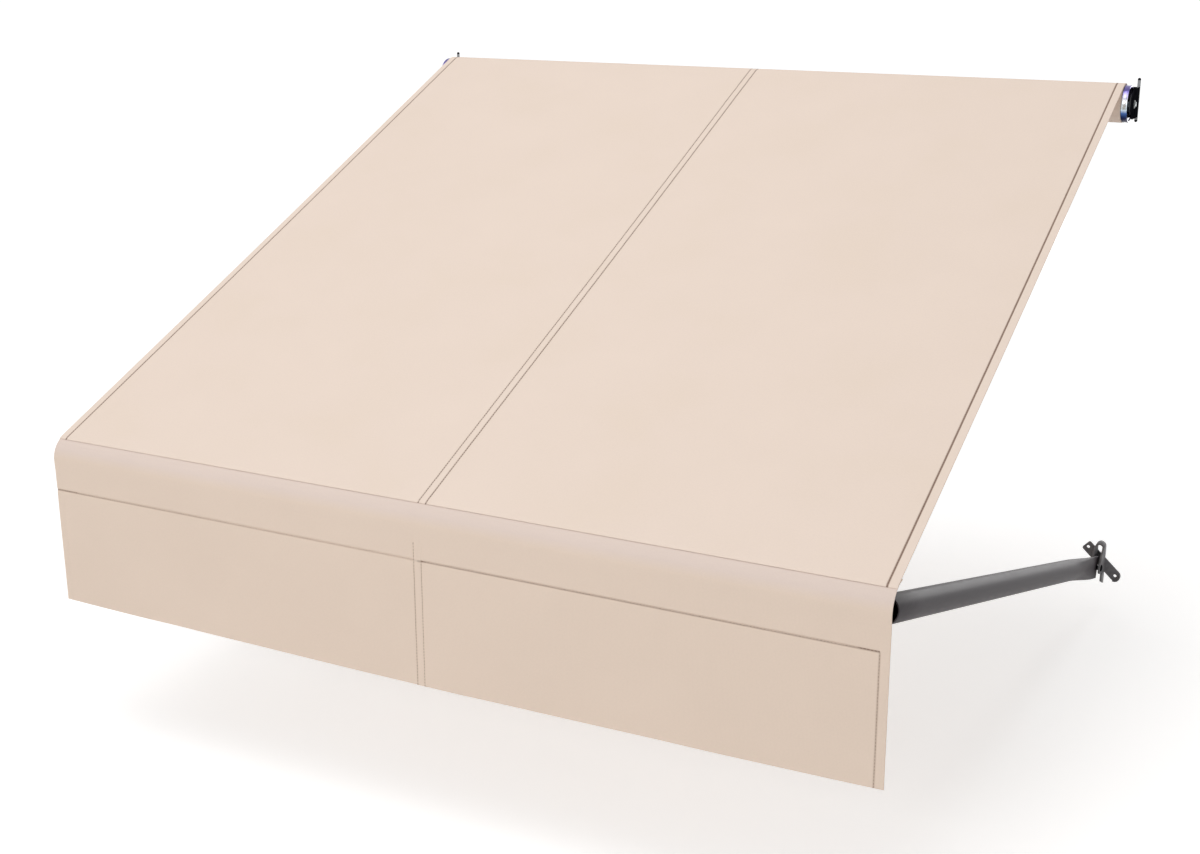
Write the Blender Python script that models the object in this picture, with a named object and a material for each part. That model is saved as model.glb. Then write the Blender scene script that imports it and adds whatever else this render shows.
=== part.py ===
"""Roll-up awning for a window: spring roller, two hinged arms, front bar in a cloth pocket, and valance.

Metres, +Z up. The wall is the plane y = 0 and the awning reaches out along -Y. The origin lies on the
wall, in the middle of the width, at the height of the roller's axis.
"""

import math

import bmesh
import bpy
from mathutils import Matrix, Vector

# Overall sizes
CLOTH_WIDTH = 1.220
ROLLER_OUT = 0.040
BAR_OUT = 1.0726
BAR_DROP = 0.4554
ARM_PIVOT_OUT = 0.036
ARM_PIVOT_DROP = 0.762

# Clearances, the bevel of a machined or moulded edge, and how far a drill or cutter runs on past a piece
GAP = 0.0003
RUNNING_GAP = 0.0015
BEVEL = 0.001
BEYOND = 0.01

# Cloth
CLOTH = 0.0012
POCKET_CLOTH = 0.0016
POCKET_DROP = 0.0443
NOSE_ARC = 66
VALANCE_DROP = 0.166
VALANCE_HEM = 0.014
SEAM_X = -0.004
CANOPY_STEPS = 6

# Roller
ROLLER_RADIUS = 0.025
ROLLER_WALL = 0.0012
GROOVE_RADIUS = 0.003
GROOVE_MOUTH = 0.0024
ROLL_TURNS = 3
CAP_RADIUS = 0.0285
CAP_RIM = 0.009
CAP_CORNER = 0.0012
CAP_SPIGOT = 0.022
GUDGEON_RADIUS = 0.004
SPINDLE_RADIUS = 0.004
SPINDLE_LENGTH = 0.330
SPINDLE_TIP = 0.003
SPADE_WIDTH = 0.004
SPRING_RADIUS = 0.010
SPRING_WIRE = 0.0012
SPRING_COILS = 16
ANCHOR_LENGTH = 0.024

# Roller brackets
BUSH_RADIUS = 0.016
BUSH_FLANGE = 0.003
BUSH_NECK = 0.0065
CHEEK = 0.002
CHEEK_HEIGHT = 0.046
CHEEK_FRONT = 0.016
CHEEK_CORNER = 0.014
RIB = 0.008
RIB_INSET = 0.006
FLANGE = 0.0025
FLANGE_REACH = 0.046
FLANGE_CORNER = 0.008
LUG_WIDTH = 0.0045
LUG_TOP = 0.037
LUG_BOTTOM = 0.031
SCREW_HOLE_RADIUS = 0.0028
SCREW_HOLE_SPACING = 0.028
SCREW_HOLE_INSET = 0.016

# Arms
ARM_RADIUS = 0.017
ARM_WALL = 0.0016
ARM_INSET = 0.014
ARM_OFFSET = 0.005
ARM_END = 0.016
FLAT_OUTBOARD = 0.0175
FLAT_HALF_THICK = 0.002
FLAT_HALF_HEIGHT = 0.0188
FLAT_TAIL = 0.0085
FLAT_LENGTH = 0.022
FLARE_LENGTH = 0.150
BORE_START = 0.075
ARM_SIDES = 32

# Arm brackets and pivots
PIVOT_RADIUS = 0.004
PIVOT_HEAD_RADIUS = 0.0055
PIVOT_HEAD = 0.0018
YOKE_SHEET = 0.003
YOKE_ROOM = 0.003
YOKE_SHIFT = 0.001
YOKE_TOP = 0.0365
YOKE_OUTER_LEG = 0.039
YOKE_INNER_LEG = 0.018
YOKE_NOSE = 0.010
YOKE_NECK = 0.018
YOKE_SHOULDER = 0.031
YOKE_FRONT = 0.033
YOKE_SLANT = 0.010
YOKE_TAB = 0.021
YOKE_STEP = 0.013
YOKE_TIP = 0.010
STRAP = 0.003
STRAP_WIDTH = 0.018
STRAP_HOLES = 0.065
STRAP_ANGLE = math.radians(-43)
STRAP_SHIFT = 0.0035
STRAP_LIP = 0.005
STRAP_EAR = 0.0060
STRAP_EAR_CORNER = 0.003

# Front bar
BAR_RADIUS = 0.030
BAR_WALL = 0.0016
PLUG_FLANGE = 0.003
PLUG_SPIGOT = 0.025
PIN_RADIUS = 0.004
PIN_HEAD_RADIUS = 0.006
PIN_HEAD = 0.0034
PIN_SOCKET = 0.018

ROUND_SIDES = 40
SMALL_SIDES = 20
COIL_SIDES = 10

# Worked out from the sizes above
EDGE_X = CLOTH_WIDTH / 2
TURN_PITCH = CLOTH + GAP
ROLL_RADIUS = ROLLER_RADIUS + GAP + ROLL_TURNS * TURN_PITCH
POCKET_RADIUS = BAR_RADIUS + GAP + POCKET_CLOTH
BAR = Vector((0, -BAR_OUT, -BAR_DROP))
ROLLER = Vector((0, -ROLLER_OUT, 0))
PIVOT = Vector((0, -ARM_PIVOT_OUT, -ARM_PIVOT_DROP))
CAP_START = EDGE_X + GAP
BUSH_START = CAP_START + CAP_RIM + GAP
CHEEK_START = BUSH_START + BUSH_FLANGE + GAP
ARM_FRONT_X = EDGE_X - ARM_INSET
FLAT_X = EDGE_X + FLAT_OUTBOARD
ARM_REAR_X = FLAT_X + FLAT_HALF_THICK - ARM_RADIUS
PLUG_FACE = ARM_FRONT_X - ARM_RADIUS - RUNNING_GAP
BAR_END = PLUG_FACE - PLUG_FLANGE
POCKET_END = BAR_END - RUNNING_GAP
ARM_REACH = math.hypot(BAR_OUT - ARM_PIVOT_OUT, ARM_PIVOT_DROP - BAR_DROP)
ARM_RISE = math.atan2(ARM_PIVOT_DROP - BAR_DROP, BAR_OUT - ARM_PIVOT_OUT) - math.asin(ARM_OFFSET / ARM_REACH)
ARM_TO_BAR = math.sqrt(ARM_REACH**2 - ARM_OFFSET**2)
YOKE_X = FLAT_X + YOKE_SHIFT
YOKE_HALF = FLAT_HALF_THICK + YOKE_ROOM
SPADE_HEIGHT = 2 * math.sqrt(SPINDLE_RADIUS**2 - (SPADE_WIDTH / 2) ** 2)


def clear_scene():
    for obj in list(bpy.data.objects):
        bpy.data.objects.remove(obj, do_unlink=True)


def make_material(name, colour, roughness, metallic=0.0):
    material = bpy.data.materials.new(name)
    material.use_nodes = True
    shader = material.node_tree.nodes["Principled BSDF"]
    shader.inputs["Base Color"].default_value = (*colour, 1.0)
    shader.inputs["Roughness"].default_value = roughness
    shader.inputs["Metallic"].default_value = metallic
    material.diffuse_color = (*colour, 1.0)
    return material


def make_empty(name, location, parent=None):
    empty = bpy.data.objects.new(name, None)
    empty.location = location
    empty.parent = parent
    bpy.context.collection.objects.link(empty)
    return empty


def make_object(name, bm, material, parent):
    """One closed mesh from bm, shaded smooth with its hard edges kept."""
    bmesh.ops.remove_doubles(bm, verts=bm.verts, dist=1e-7)
    bmesh.ops.recalc_face_normals(bm, faces=bm.faces)
    mesh = bpy.data.meshes.new(name)
    bm.to_mesh(mesh)
    bm.free()
    mesh.shade_smooth()
    mesh.set_sharp_from_angle(angle=math.radians(32))
    obj = bpy.data.objects.new(name, mesh)
    obj.parent = parent
    if material:
        mesh.materials.append(material)
    bpy.context.collection.objects.link(obj)
    return obj


def combine(target, bm, operation):
    """Joins, cuts or intersects target with the closed mesh bm, which stays in the scene as a hidden helper."""
    helper = make_object(f"{target.name}_helper{len(target.modifiers)}", bm, None, target.parent)
    helper.location = target.location
    helper.hide_render = True
    helper.display_type = "WIRE"
    modifier = target.modifiers.new(operation.title(), "BOOLEAN")
    modifier.operation = operation
    modifier.object = helper


def arc(centre, radius, start, end, steps):
    """Points on an arc in a plane, from the angle start to end in degrees."""
    points = []
    for i in range(steps + 1):
        angle = math.radians(start + (end - start) * i / steps)
        points.append((centre[0] + radius * math.cos(angle), centre[1] + radius * math.sin(angle)))
    return points


def prism(outline, axis, low, high):
    """A flat outline extruded along x, y or z. The outline's two coordinates are the other two axes, in order."""
    bm = bmesh.new()
    others = [i for i in range(3) if i != axis]
    rings = []
    for level in (low, high):
        ring = []
        for point in outline:
            place = [0.0, 0.0, 0.0]
            place[axis] = level
            place[others[0]], place[others[1]] = point
            ring.append(bm.verts.new(place))
        rings.append(ring)
    bm.faces.new(rings[0])
    bm.faces.new(rings[1])
    for i in range(len(outline)):
        j = (i + 1) % len(outline)
        bm.faces.new((rings[0][i], rings[0][j], rings[1][j], rings[1][i]))
    return bm


def turned(profile, sides=ROUND_SIDES, closed=False):
    """Spins a profile of (x, radius) points about the x axis. An open profile starts and ends on the axis."""
    bm = bmesh.new()
    verts = [bm.verts.new((x, 0, radius)) for x, radius in profile]
    edges = [bm.edges.new(pair) for pair in zip(verts, verts[1:])]
    if closed:
        edges.append(bm.edges.new((verts[-1], verts[0])))
    bmesh.ops.spin(bm, geom=verts + edges, cent=(0, 0, 0), axis=(1, 0, 0), angle=math.tau, steps=sides, use_merge=True)
    bmesh.ops.remove_doubles(bm, verts=bm.verts, dist=1e-7)
    return bm


def rod(low, high, radius, centre=(0, 0), axis=0, sides=SMALL_SIDES):
    """A plain cylinder, such as a drill, along one axis."""
    return prism(arc(centre, radius, 0, 360 - 360 / sides, sides - 1), axis, low, high)


def for_side(bm, side):
    """Every paired piece is drawn for the right side, +x, and mirrored for the left one."""
    if side < 0:
        bmesh.ops.transform(bm, matrix=Matrix.Scale(-1, 4, (1, 0, 0)), verts=bm.verts)
        bmesh.ops.reverse_faces(bm, faces=bm.faces)
    return bm


def loft(sections):
    """A closed solid through rings of points, capped at both ends."""
    bm = bmesh.new()
    rings = [[bm.verts.new(point) for point in section] for section in sections]
    count = len(rings[0])
    for ring, after in zip(rings, rings[1:]):
        for i in range(count):
            j = (i + 1) % count
            bm.faces.new((ring[i], ring[j], after[j], after[i]))
    bm.faces.new(rings[0])
    bm.faces.new(rings[-1])
    return bm


def tangent_line(start_radius, end_radius):
    """Where a line that lies on the roller and on the front bar, on top of both, meets each circle."""
    way = BAR - ROLLER
    lean = math.asin((start_radius - end_radius) / way.length)
    normal = Vector((0, way.normalized().z, -way.normalized().y))
    along = way.normalized()
    lift = normal * math.cos(lean) + along * math.sin(lean)
    return ROLLER + lift * start_radius, BAR + lift * end_radius


def roller_bracket(name, side, frame, steel):
    """Cheek that holds the bush, bent at the wall into an inboard flange with two screw holes."""
    outer = CHEEK_START + CHEEK
    front = ROLLER_OUT + CHEEK_FRONT
    half = CHEEK_HEIGHT / 2
    cheek = [(0, -half), (0, half)]
    cheek += arc((-front + CHEEK_CORNER, half - CHEEK_CORNER), CHEEK_CORNER, 90, 180, 6)
    cheek += arc((-front + CHEEK_CORNER, CHEEK_CORNER - half), CHEEK_CORNER, 180, 270, 6)
    bracket = make_object(name, for_side(prism(cheek, 0, CHEEK_START, outer), side), steel, frame)
    inner = outer - FLANGE_REACH
    flange = arc((inner + FLANGE_CORNER, FLANGE_CORNER - half), FLANGE_CORNER, 270, 180, 4)
    flange += arc((inner + FLANGE_CORNER, half - FLANGE_CORNER), FLANGE_CORNER, 180, 90, 4)
    flange += [(outer - LUG_WIDTH, half)]
    flange += arc((outer - LUG_WIDTH / 2, LUG_TOP - LUG_WIDTH / 2), LUG_WIDTH / 2, 180, 0, 6)
    flange += arc((outer - LUG_WIDTH / 2, LUG_WIDTH / 2 - LUG_BOTTOM), LUG_WIDTH / 2, 0, -180, 6)
    flange += [(outer - LUG_WIDTH, -half)]
    combine(bracket, for_side(prism(flange, 1, -FLANGE, 0), side), "UNION")
    rib = [(CHEEK_START + CHEEK / 2, -FLANGE / 2), (CHEEK_START - RIB, -FLANGE / 2)]
    rib += [(CHEEK_START + CHEEK / 2, -FLANGE - RIB)]
    for height in (RIB_INSET - half, half - RIB_INSET):
        combine(bracket, for_side(prism(rib, 2, height - CHEEK / 2, height + CHEEK / 2), side), "UNION")
    bush_hole = rod(CHEEK_START - CHEEK, outer + CHEEK, BUSH_NECK + GAP, (-ROLLER_OUT, 0))
    combine(bracket, for_side(bush_hole, side), "DIFFERENCE")
    for height in (-SCREW_HOLE_SPACING / 2, SCREW_HOLE_SPACING / 2):
        drill = rod(-2 * FLANGE, FLANGE, SCREW_HOLE_RADIUS, (inner + SCREW_HOLE_INSET, height), axis=1)
        combine(bracket, for_side(drill, side), "DIFFERENCE")
    return bracket


def bush(name, side, roller_axis, nylon):
    """Flanged bush in the cheek. The left one takes the round gudgeon, the right one the spindle's flat spade."""
    end = CHEEK_START + CHEEK + BEVEL
    if side < 0:
        bore = GUDGEON_RADIUS + GAP
        profile = [(BUSH_START, bore), (BUSH_START, BUSH_RADIUS - BEVEL), (BUSH_START + BEVEL, BUSH_RADIUS)]
        profile += [(CHEEK_START - GAP, BUSH_RADIUS), (CHEEK_START - GAP, BUSH_NECK), (end, BUSH_NECK), (end, bore)]
        return make_object(name, for_side(turned(profile, closed=True), side), nylon, roller_axis)
    profile = [(BUSH_START, 0), (BUSH_START, BUSH_RADIUS - BEVEL), (BUSH_START + BEVEL, BUSH_RADIUS)]
    profile += [(CHEEK_START - GAP, BUSH_RADIUS), (CHEEK_START - GAP, BUSH_NECK), (end, BUSH_NECK), (end, 0)]
    made = make_object(name, turned(profile), nylon, roller_axis)
    wide, high = SPADE_WIDTH / 2 + GAP, SPADE_HEIGHT / 2 + GAP
    slot = [(-wide, -high), (wide, -high), (wide, high), (-wide, high)]
    combine(made, prism(slot, 0, BUSH_START - BEYOND, end + BEYOND), "DIFFERENCE")
    return made


def roller_tube(roller_axis, steel):
    """Thin tube with a keyhole channel along its front, where the cloth's corded edge is held."""
    outline = [(-EDGE_X, ROLLER_RADIUS), (EDGE_X, ROLLER_RADIUS)]
    bore = ROLLER_RADIUS - ROLLER_WALL
    profile = outline + [(EDGE_X, bore), (-EDGE_X, bore)]
    tube = make_object("roller_tube", turned(profile, closed=True), steel, roller_axis)
    depth = ROLLER_RADIUS - GROOVE_RADIUS - ROLLER_WALL
    seat = rod(-EDGE_X, EDGE_X, GROOVE_RADIUS + ROLLER_WALL, (-depth, 0))
    combine(tube, seat, "UNION")
    end = EDGE_X + BEYOND
    combine(tube, rod(-end, end, GROOVE_RADIUS, (-depth, 0)), "DIFFERENCE")
    mouth, front = GROOVE_MOUTH / 2, -ROLLER_RADIUS - BEYOND
    slot = [(-depth, -mouth), (-depth, mouth), (front, mouth), (front, -mouth)]
    combine(tube, prism(slot, 0, -end, end), "DIFFERENCE")
    return tube


def roller_cap(name, side, roller_axis, chrome):
    """Bright end cap: a rim as wide as the rolled cloth and a spigot in the tube, notched for the channel.
    The left cap has the gudgeon, the right one turns on the spindle."""
    rim = CAP_START + CAP_RIM
    spigot = ROLLER_RADIUS - ROLLER_WALL - GAP
    inner = EDGE_X - CAP_SPIGOT
    outside = [(rim, CAP_RADIUS - CAP_CORNER), (rim - CAP_CORNER, CAP_RADIUS), (CAP_START + CAP_CORNER, CAP_RADIUS)]
    outside += [(CAP_START, CAP_RADIUS - CAP_CORNER), (CAP_START, spigot), (inner, spigot)]
    if side < 0:
        tip = CHEEK_START + CHEEK + SPINDLE_TIP
        profile = [(tip, 0), (tip, GUDGEON_RADIUS - BEVEL), (tip - BEVEL, GUDGEON_RADIUS)]
        profile += [(rim, GUDGEON_RADIUS)] + outside + [(inner, 0)]
        made = make_object(name, for_side(turned(profile), side), chrome, roller_axis)
    else:
        bore = SPINDLE_RADIUS + GAP
        profile = [(rim, bore)] + outside + [(inner, bore)]
        made = make_object(name, turned(profile, closed=True), chrome, roller_axis)
    notch = GROOVE_RADIUS + ROLLER_WALL + GAP
    top = ROLLER_RADIUS - GROOVE_RADIUS - ROLLER_WALL
    channel = rod(inner - BEYOND, CAP_START - GAP / 2, notch, (-top, 0))
    combine(made, for_side(channel, side), "DIFFERENCE")
    return made


def fabric_roll(roller_axis, cloth):
    """The turns that stay on the tube, as one solid. Its outside is the last turn's spiral, with a step of one
    turn where the canopy leaves it on top."""
    leave, _ = tangent_line(ROLL_RADIUS, POCKET_RADIUS)
    last = math.atan2((leave - ROLLER).z, (leave - ROLLER).y)
    outline = []
    for i in range(ROUND_SIDES + 1):
        share = i / ROUND_SIDES
        angle = last - math.tau * (1 - share)
        radius = ROLL_RADIUS - TURN_PITCH * (1 - share)
        outline.append((radius * math.cos(angle), radius * math.sin(angle)))
    made = make_object("fabric_roll", prism(outline, 0, -EDGE_X, EDGE_X), cloth, roller_axis)
    bore = rod(-EDGE_X - BEYOND, EDGE_X + BEYOND, ROLLER_RADIUS + GAP, sides=ROUND_SIDES)
    combine(made, bore, "DIFFERENCE")
    return made


def strip(inside, outside, spans):
    """A bent sheet between two rows of (y, z) points, extruded along x. Each span is (x from, x to, first, last):
    there the sheet runs between those two points of the rows, so that an end can be cut back."""
    bm = bmesh.new()
    stations = sorted({x for span in spans for x in span[:2]})
    corners = {}

    def corner(row, station, index):
        key = (row, station, index)
        if key not in corners:
            y, z = (inside, outside)[row][index]
            corners[key] = bm.verts.new((stations[station], y, z))
        return corners[key]

    def present(station, index):
        if not 0 <= station < len(stations) - 1:
            return False
        return any(x0 <= stations[station] < x1 and a <= index < b for x0, x1, a, b in spans)

    for s in range(len(stations) - 1):
        for i in range(len(inside) - 1):
            if not present(s, i):
                continue
            for row in (0, 1):
                bm.faces.new([corner(row, s, i), corner(row, s + 1, i), corner(row, s + 1, i + 1), corner(row, s, i + 1)])
            for beside, at in ((s - 1, s), (s + 1, s + 1)):
                if not present(beside, i):
                    bm.faces.new([corner(0, at, i), corner(0, at, i + 1), corner(1, at, i + 1), corner(1, at, i)])
            for beside, at in ((i - 1, i), (i + 1, i + 1)):
                if not present(s, beside):
                    bm.faces.new([corner(0, s, at), corner(0, s + 1, at), corner(1, s + 1, at), corner(1, s, at)])
    return bm


def spindle(roller_axis, steel):
    """Fixed rod of the spring, from inside the tube to its flat spade in the right bush."""
    end = CHEEK_START + CHEEK + SPINDLE_TIP
    start = EDGE_X - SPINDLE_LENGTH
    shoulder = BUSH_START - GAP
    made = make_object(
        "spring_spindle",
        turned([(start, 0), (start, SPINDLE_RADIUS), (shoulder, SPINDLE_RADIUS), (shoulder, 0)]),
        steel,
        roller_axis,
    )
    wide, high = SPADE_WIDTH / 2, SPADE_HEIGHT / 2
    spade = [(-wide, -high), (wide, -high), (wide, high), (-wide, high)]
    combine(made, prism(spade, 0, shoulder - BEYOND, end), "UNION")
    return made


def spring(roller_axis, steel):
    """Torsion spring round the spindle: a coil of wire from the right cap to the anchor."""
    seat = SPRING_WIRE + GAP
    start = EDGE_X - SPINDLE_LENGTH + ANCHOR_LENGTH + seat
    end = EDGE_X - CAP_SPIGOT - seat
    curve = bpy.data.curves.new("torsion_spring", "CURVE")
    curve.dimensions = "3D"
    curve.bevel_depth = SPRING_WIRE
    curve.bevel_resolution = 1
    curve.use_fill_caps = True
    path = curve.splines.new("POLY")
    steps = SPRING_COILS * COIL_SIDES
    path.points.add(steps)
    for i, point in enumerate(path.points):
        angle = math.tau * SPRING_COILS * i / steps
        x = start + (end - start) * i / steps
        point.co = (x, SPRING_RADIUS * math.cos(angle), SPRING_RADIUS * math.sin(angle), 1)
    curve.materials.append(steel)
    made = bpy.data.objects.new("torsion_spring", curve)
    made.parent = roller_axis
    bpy.context.collection.objects.link(made)
    return made


def spring_anchor(roller_axis, nylon):
    """Plug that turns with the tube and takes the spring's inner end, notched for the channel."""
    start = EDGE_X - SPINDLE_LENGTH
    radius = ROLLER_RADIUS - ROLLER_WALL - GAP
    bore = SPINDLE_RADIUS + GAP
    profile = [(start, bore), (start, radius), (start + ANCHOR_LENGTH, radius), (start + ANCHOR_LENGTH, bore)]
    made = make_object("spring_anchor", turned(profile, closed=True), nylon, roller_axis)
    notch = GROOVE_RADIUS + ROLLER_WALL + GAP
    centre = (GROOVE_RADIUS + ROLLER_WALL - ROLLER_RADIUS, 0)
    channel = rod(start - BEYOND, start + ANCHOR_LENGTH + BEYOND, notch, centre)
    combine(made, channel, "DIFFERENCE")
    return made


def arm_section(along, half_width, half_height, middle_x):
    """Ring of the arm at a distance from its pivot: a circle, or a slot-shaped oval where the arm is flattened."""
    out = Vector((0, -math.cos(ARM_RISE), math.sin(ARM_RISE)))
    up = Vector((0, math.sin(ARM_RISE), math.cos(ARM_RISE)))
    points = []
    for i in range(ARM_SIDES):
        angle = (i + 0.5) * math.tau / ARM_SIDES
        straight = math.copysign(half_height - half_width, math.sin(angle))
        height = half_width * math.sin(angle) + straight
        x = middle_x + half_width * math.cos(angle)
        points.append(out * along + up * height + Vector((x, 0, 0)))
    return points


def arm_shape(along, inset):
    """Half width, half height and middle of the arm at a distance from its pivot, less a wall."""
    end = ARM_TO_BAR + ARM_END
    share = min(max((along - FLAT_LENGTH) / FLARE_LENGTH, 0), 1)
    share = share * share * (3 - 2 * share)
    half_width = FLAT_HALF_THICK + (ARM_RADIUS - FLAT_HALF_THICK) * share
    half_height = FLAT_HALF_HEIGHT + (ARM_RADIUS - FLAT_HALF_HEIGHT) * share
    front = (along - FLAT_LENGTH - FLARE_LENGTH) / (end - FLAT_LENGTH - FLARE_LENGTH)
    middle = FLAT_X + FLAT_HALF_THICK - half_width + (ARM_FRONT_X - ARM_REAR_X) * max(front, 0)
    return half_width - inset, max(half_height - inset, half_width - inset), middle


def arm(name, side, arm_pivot, paint):
    """Round tube, open at the front, its wall end pressed flat round the pivot pin's hole."""
    end = ARM_TO_BAR + ARM_END
    flare = [FLAT_LENGTH + FLARE_LENGTH * i / 8 for i in range(9)]
    outer = [arm_section(s, *arm_shape(s, 0)) for s in [-FLAT_TAIL] + flare + [end]]
    tube = make_object(name, for_side(loft(outer), side), paint, arm_pivot)
    bore = [BORE_START] + [s for s in flare if s > BORE_START] + [end + BEYOND]
    inner = [arm_section(s, *arm_shape(s, ARM_WALL)) for s in bore]
    combine(tube, for_side(loft(inner), side), "DIFFERENCE")
    hole = rod(FLAT_X - BEYOND, FLAT_X + BEYOND, PIVOT_RADIUS + GAP)
    combine(tube, for_side(hole, side), "DIFFERENCE")
    front = BAR - PIVOT
    front_hole = rod(PLUG_FACE - BEYOND, ARM_FRONT_X, PIN_RADIUS + GAP, (front.y, front.z))
    combine(tube, for_side(front_hole, side), "DIFFERENCE")
    return tube


def arm_bracket(name, side, arm_pivot, steel):
    """Stamped strap across the wall, and on it a hooped yoke whose two cheeks hold the pivot pin."""
    wall = ARM_PIVOT_OUT
    outer, inner = YOKE_HALF + YOKE_SHEET, YOKE_HALF
    bend = YOKE_TOP - outer
    leg = YOKE_OUTER_LEG + BEYOND
    hoop = [(YOKE_X - outer, -YOKE_INNER_LEG)]
    hoop += arc((YOKE_X, bend), outer, 180, 0, 12)
    hoop += [(YOKE_X + outer, -leg), (YOKE_X + inner, -leg)]
    hoop += arc((YOKE_X, bend), inner, 0, 180, 12)
    hoop += [(YOKE_X - inner, -YOKE_INNER_LEG)]
    yoke = make_object(name, for_side(prism(hoop, 1, -YOKE_NOSE - BEYOND, wall - STRAP / 2), side), steel, arm_pivot)
    neck, above = wall - YOKE_NECK, YOKE_TOP + BEYOND
    cheek = [(wall, -YOKE_OUTER_LEG), (wall, above), (neck, above), (neck, YOKE_SHOULDER)]
    cheek += [(wall - YOKE_FRONT, YOKE_SHOULDER - YOKE_SLANT)]
    cheek += arc((0, 0), YOKE_NOSE, 110, 250, 10)
    cheek += [(wall - YOKE_TAB, -YOKE_STEP), (wall - YOKE_TAB, YOKE_TIP - YOKE_OUTER_LEG)]
    low, high = YOKE_X - outer - BEYOND, YOKE_X + outer + BEYOND
    combine(yoke, for_side(prism(cheek, 0, low, high), side), "INTERSECT")
    turn = Matrix.Rotation(-STRAP_ANGLE, 4, "Y")
    half, width = STRAP_HOLES / 2, STRAP_WIDTH / 2
    ear = STRAP_EAR_CORNER - half - STRAP_EAR
    strap = arc((half, 0), width, 90, -90, 12)
    strap += arc((ear, STRAP_EAR_CORNER - width), STRAP_EAR_CORNER, 270, 180, 4)
    strap += arc((ear, width - STRAP_EAR_CORNER), STRAP_EAR_CORNER, 180, 90, 4)
    place = Matrix.Translation((FLAT_X + STRAP_SHIFT, wall, 0)) @ turn
    plate = prism(strap, 1, -STRAP, 0)
    bmesh.ops.transform(plate, matrix=place, verts=plate.verts)
    combine(yoke, for_side(plate, side), "UNION")
    rim = arc((half, 0), width, 70, -70, 10) + arc((half, 0), width - STRAP / 2, -70, 70, 10)
    lip = prism(rim, 1, -STRAP - STRAP_LIP, -STRAP / 2)
    bmesh.ops.transform(lip, matrix=place, verts=lip.verts)
    combine(yoke, for_side(lip, side), "UNION")
    for end in (-half, half):
        drill = rod(-2 * STRAP, STRAP, SCREW_HOLE_RADIUS, (end, 0), axis=1)
        bmesh.ops.transform(drill, matrix=place, verts=drill.verts)
        combine(yoke, for_side(drill, side), "DIFFERENCE")
    hole = rod(low, high, PIVOT_RADIUS + GAP)
    combine(yoke, for_side(hole, side), "DIFFERENCE")
    return yoke


def pivot_pin(name, side, arm_pivot, steel):
    """Rivet through the yoke and the arm's flat end, with a domed head on both sides."""
    seat = YOKE_HALF + YOKE_SHEET + GAP
    tip = seat + PIVOT_HEAD
    dome = [(seat + PIVOT_HEAD * 0.45, PIVOT_HEAD_RADIUS), (seat + PIVOT_HEAD * 0.85, PIVOT_HEAD_RADIUS * 0.7)]
    right = [(seat, PIVOT_RADIUS), (seat, PIVOT_HEAD_RADIUS)] + dome + [(tip, 0)]
    profile = [(YOKE_X - x, r) for x, r in reversed(right)] + [(YOKE_X + x, r) for x, r in right]
    return make_object(name, for_side(turned(profile, SMALL_SIDES), side), steel, arm_pivot)


def front_bar(bar_axis, steel):
    bore = BAR_RADIUS - BAR_WALL
    profile = [(-BAR_END, BAR_RADIUS), (BAR_END, BAR_RADIUS), (BAR_END, bore), (-BAR_END, bore)]
    return make_object("front_bar", turned(profile, closed=True), steel, bar_axis)


def bar_plug(name, side, bar_axis, nylon):
    """Plug in the bar's end: a flange, a spigot, and a socket for the pin."""
    spigot = BAR_RADIUS - BAR_WALL - GAP
    inner = BAR_END - PLUG_SPIGOT
    bore = PIN_RADIUS + GAP
    profile = [(inner, bore), (inner, spigot - BEVEL), (inner + BEVEL, spigot), (BAR_END + GAP, spigot)]
    profile += [(BAR_END + GAP, BAR_RADIUS), (PLUG_FACE - BEVEL, BAR_RADIUS), (PLUG_FACE, BAR_RADIUS - BEVEL)]
    profile += [(PLUG_FACE, bore)]
    return make_object(name, for_side(turned(profile, closed=True), side), nylon, bar_axis)


def bar_pin(name, side, bar_axis, steel):
    """Pin that the arm turns on, from the plug through the inner wall of the arm to its head inside the tube."""
    bore = ARM_RADIUS - ARM_WALL
    seat = ARM_FRONT_X - math.sqrt(bore**2 - (ARM_OFFSET + PIN_HEAD_RADIUS) ** 2) + GAP
    start = PLUG_FACE - PIN_SOCKET
    profile = [(start, 0), (start, PIN_RADIUS), (seat, PIN_RADIUS), (seat, PIN_HEAD_RADIUS)]
    top = seat + PIN_HEAD
    profile += [(top - BEVEL, PIN_HEAD_RADIUS), (top, PIN_HEAD_RADIUS - BEVEL), (top, 0)]
    return make_object(name, for_side(turned(profile, SMALL_SIDES), side), steel, bar_axis)


def pocket(bar_axis, cloth):
    """Cloth loop round the bar, drawn down to the line where it is stitched. Its front layer runs on to the
    cloth's edges, past the loop, and covers the ends of the arms."""
    outer, inner = POCKET_RADIUS, POCKET_RADIUS - POCKET_CLOTH
    seam = Vector((-outer + POCKET_CLOTH + GAP, -POCKET_DROP))
    lean = math.atan2(seam.y, seam.x) + math.acos(outer / seam.length)
    leave = math.degrees(lean)
    nose = 180 - NOSE_ARC
    outside = [(seam.x + POCKET_CLOTH - GAP, seam.y)]
    outside += arc((0, 0), outer, leave, nose, 16)
    inside = [(seam.x, seam.y)]
    inside += arc((0, 0), inner, leave, nose, 16)
    first = len(outside) - 1
    outside += arc((0, 0), outer, nose, 180, 8)[1:]
    inside += arc((0, 0), inner, nose, 180, 8)[1:]
    outside.append((-outer, -POCKET_DROP))
    inside.append((-inner, -POCKET_DROP))
    last = len(outside) - 1
    spans = [(-EDGE_X, -POCKET_END, first, last), (-POCKET_END, POCKET_END, 0, last), (POCKET_END, EDGE_X, first, last)]
    return make_object("bar_pocket", strip(inside, outside, spans), cloth, bar_axis)


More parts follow.
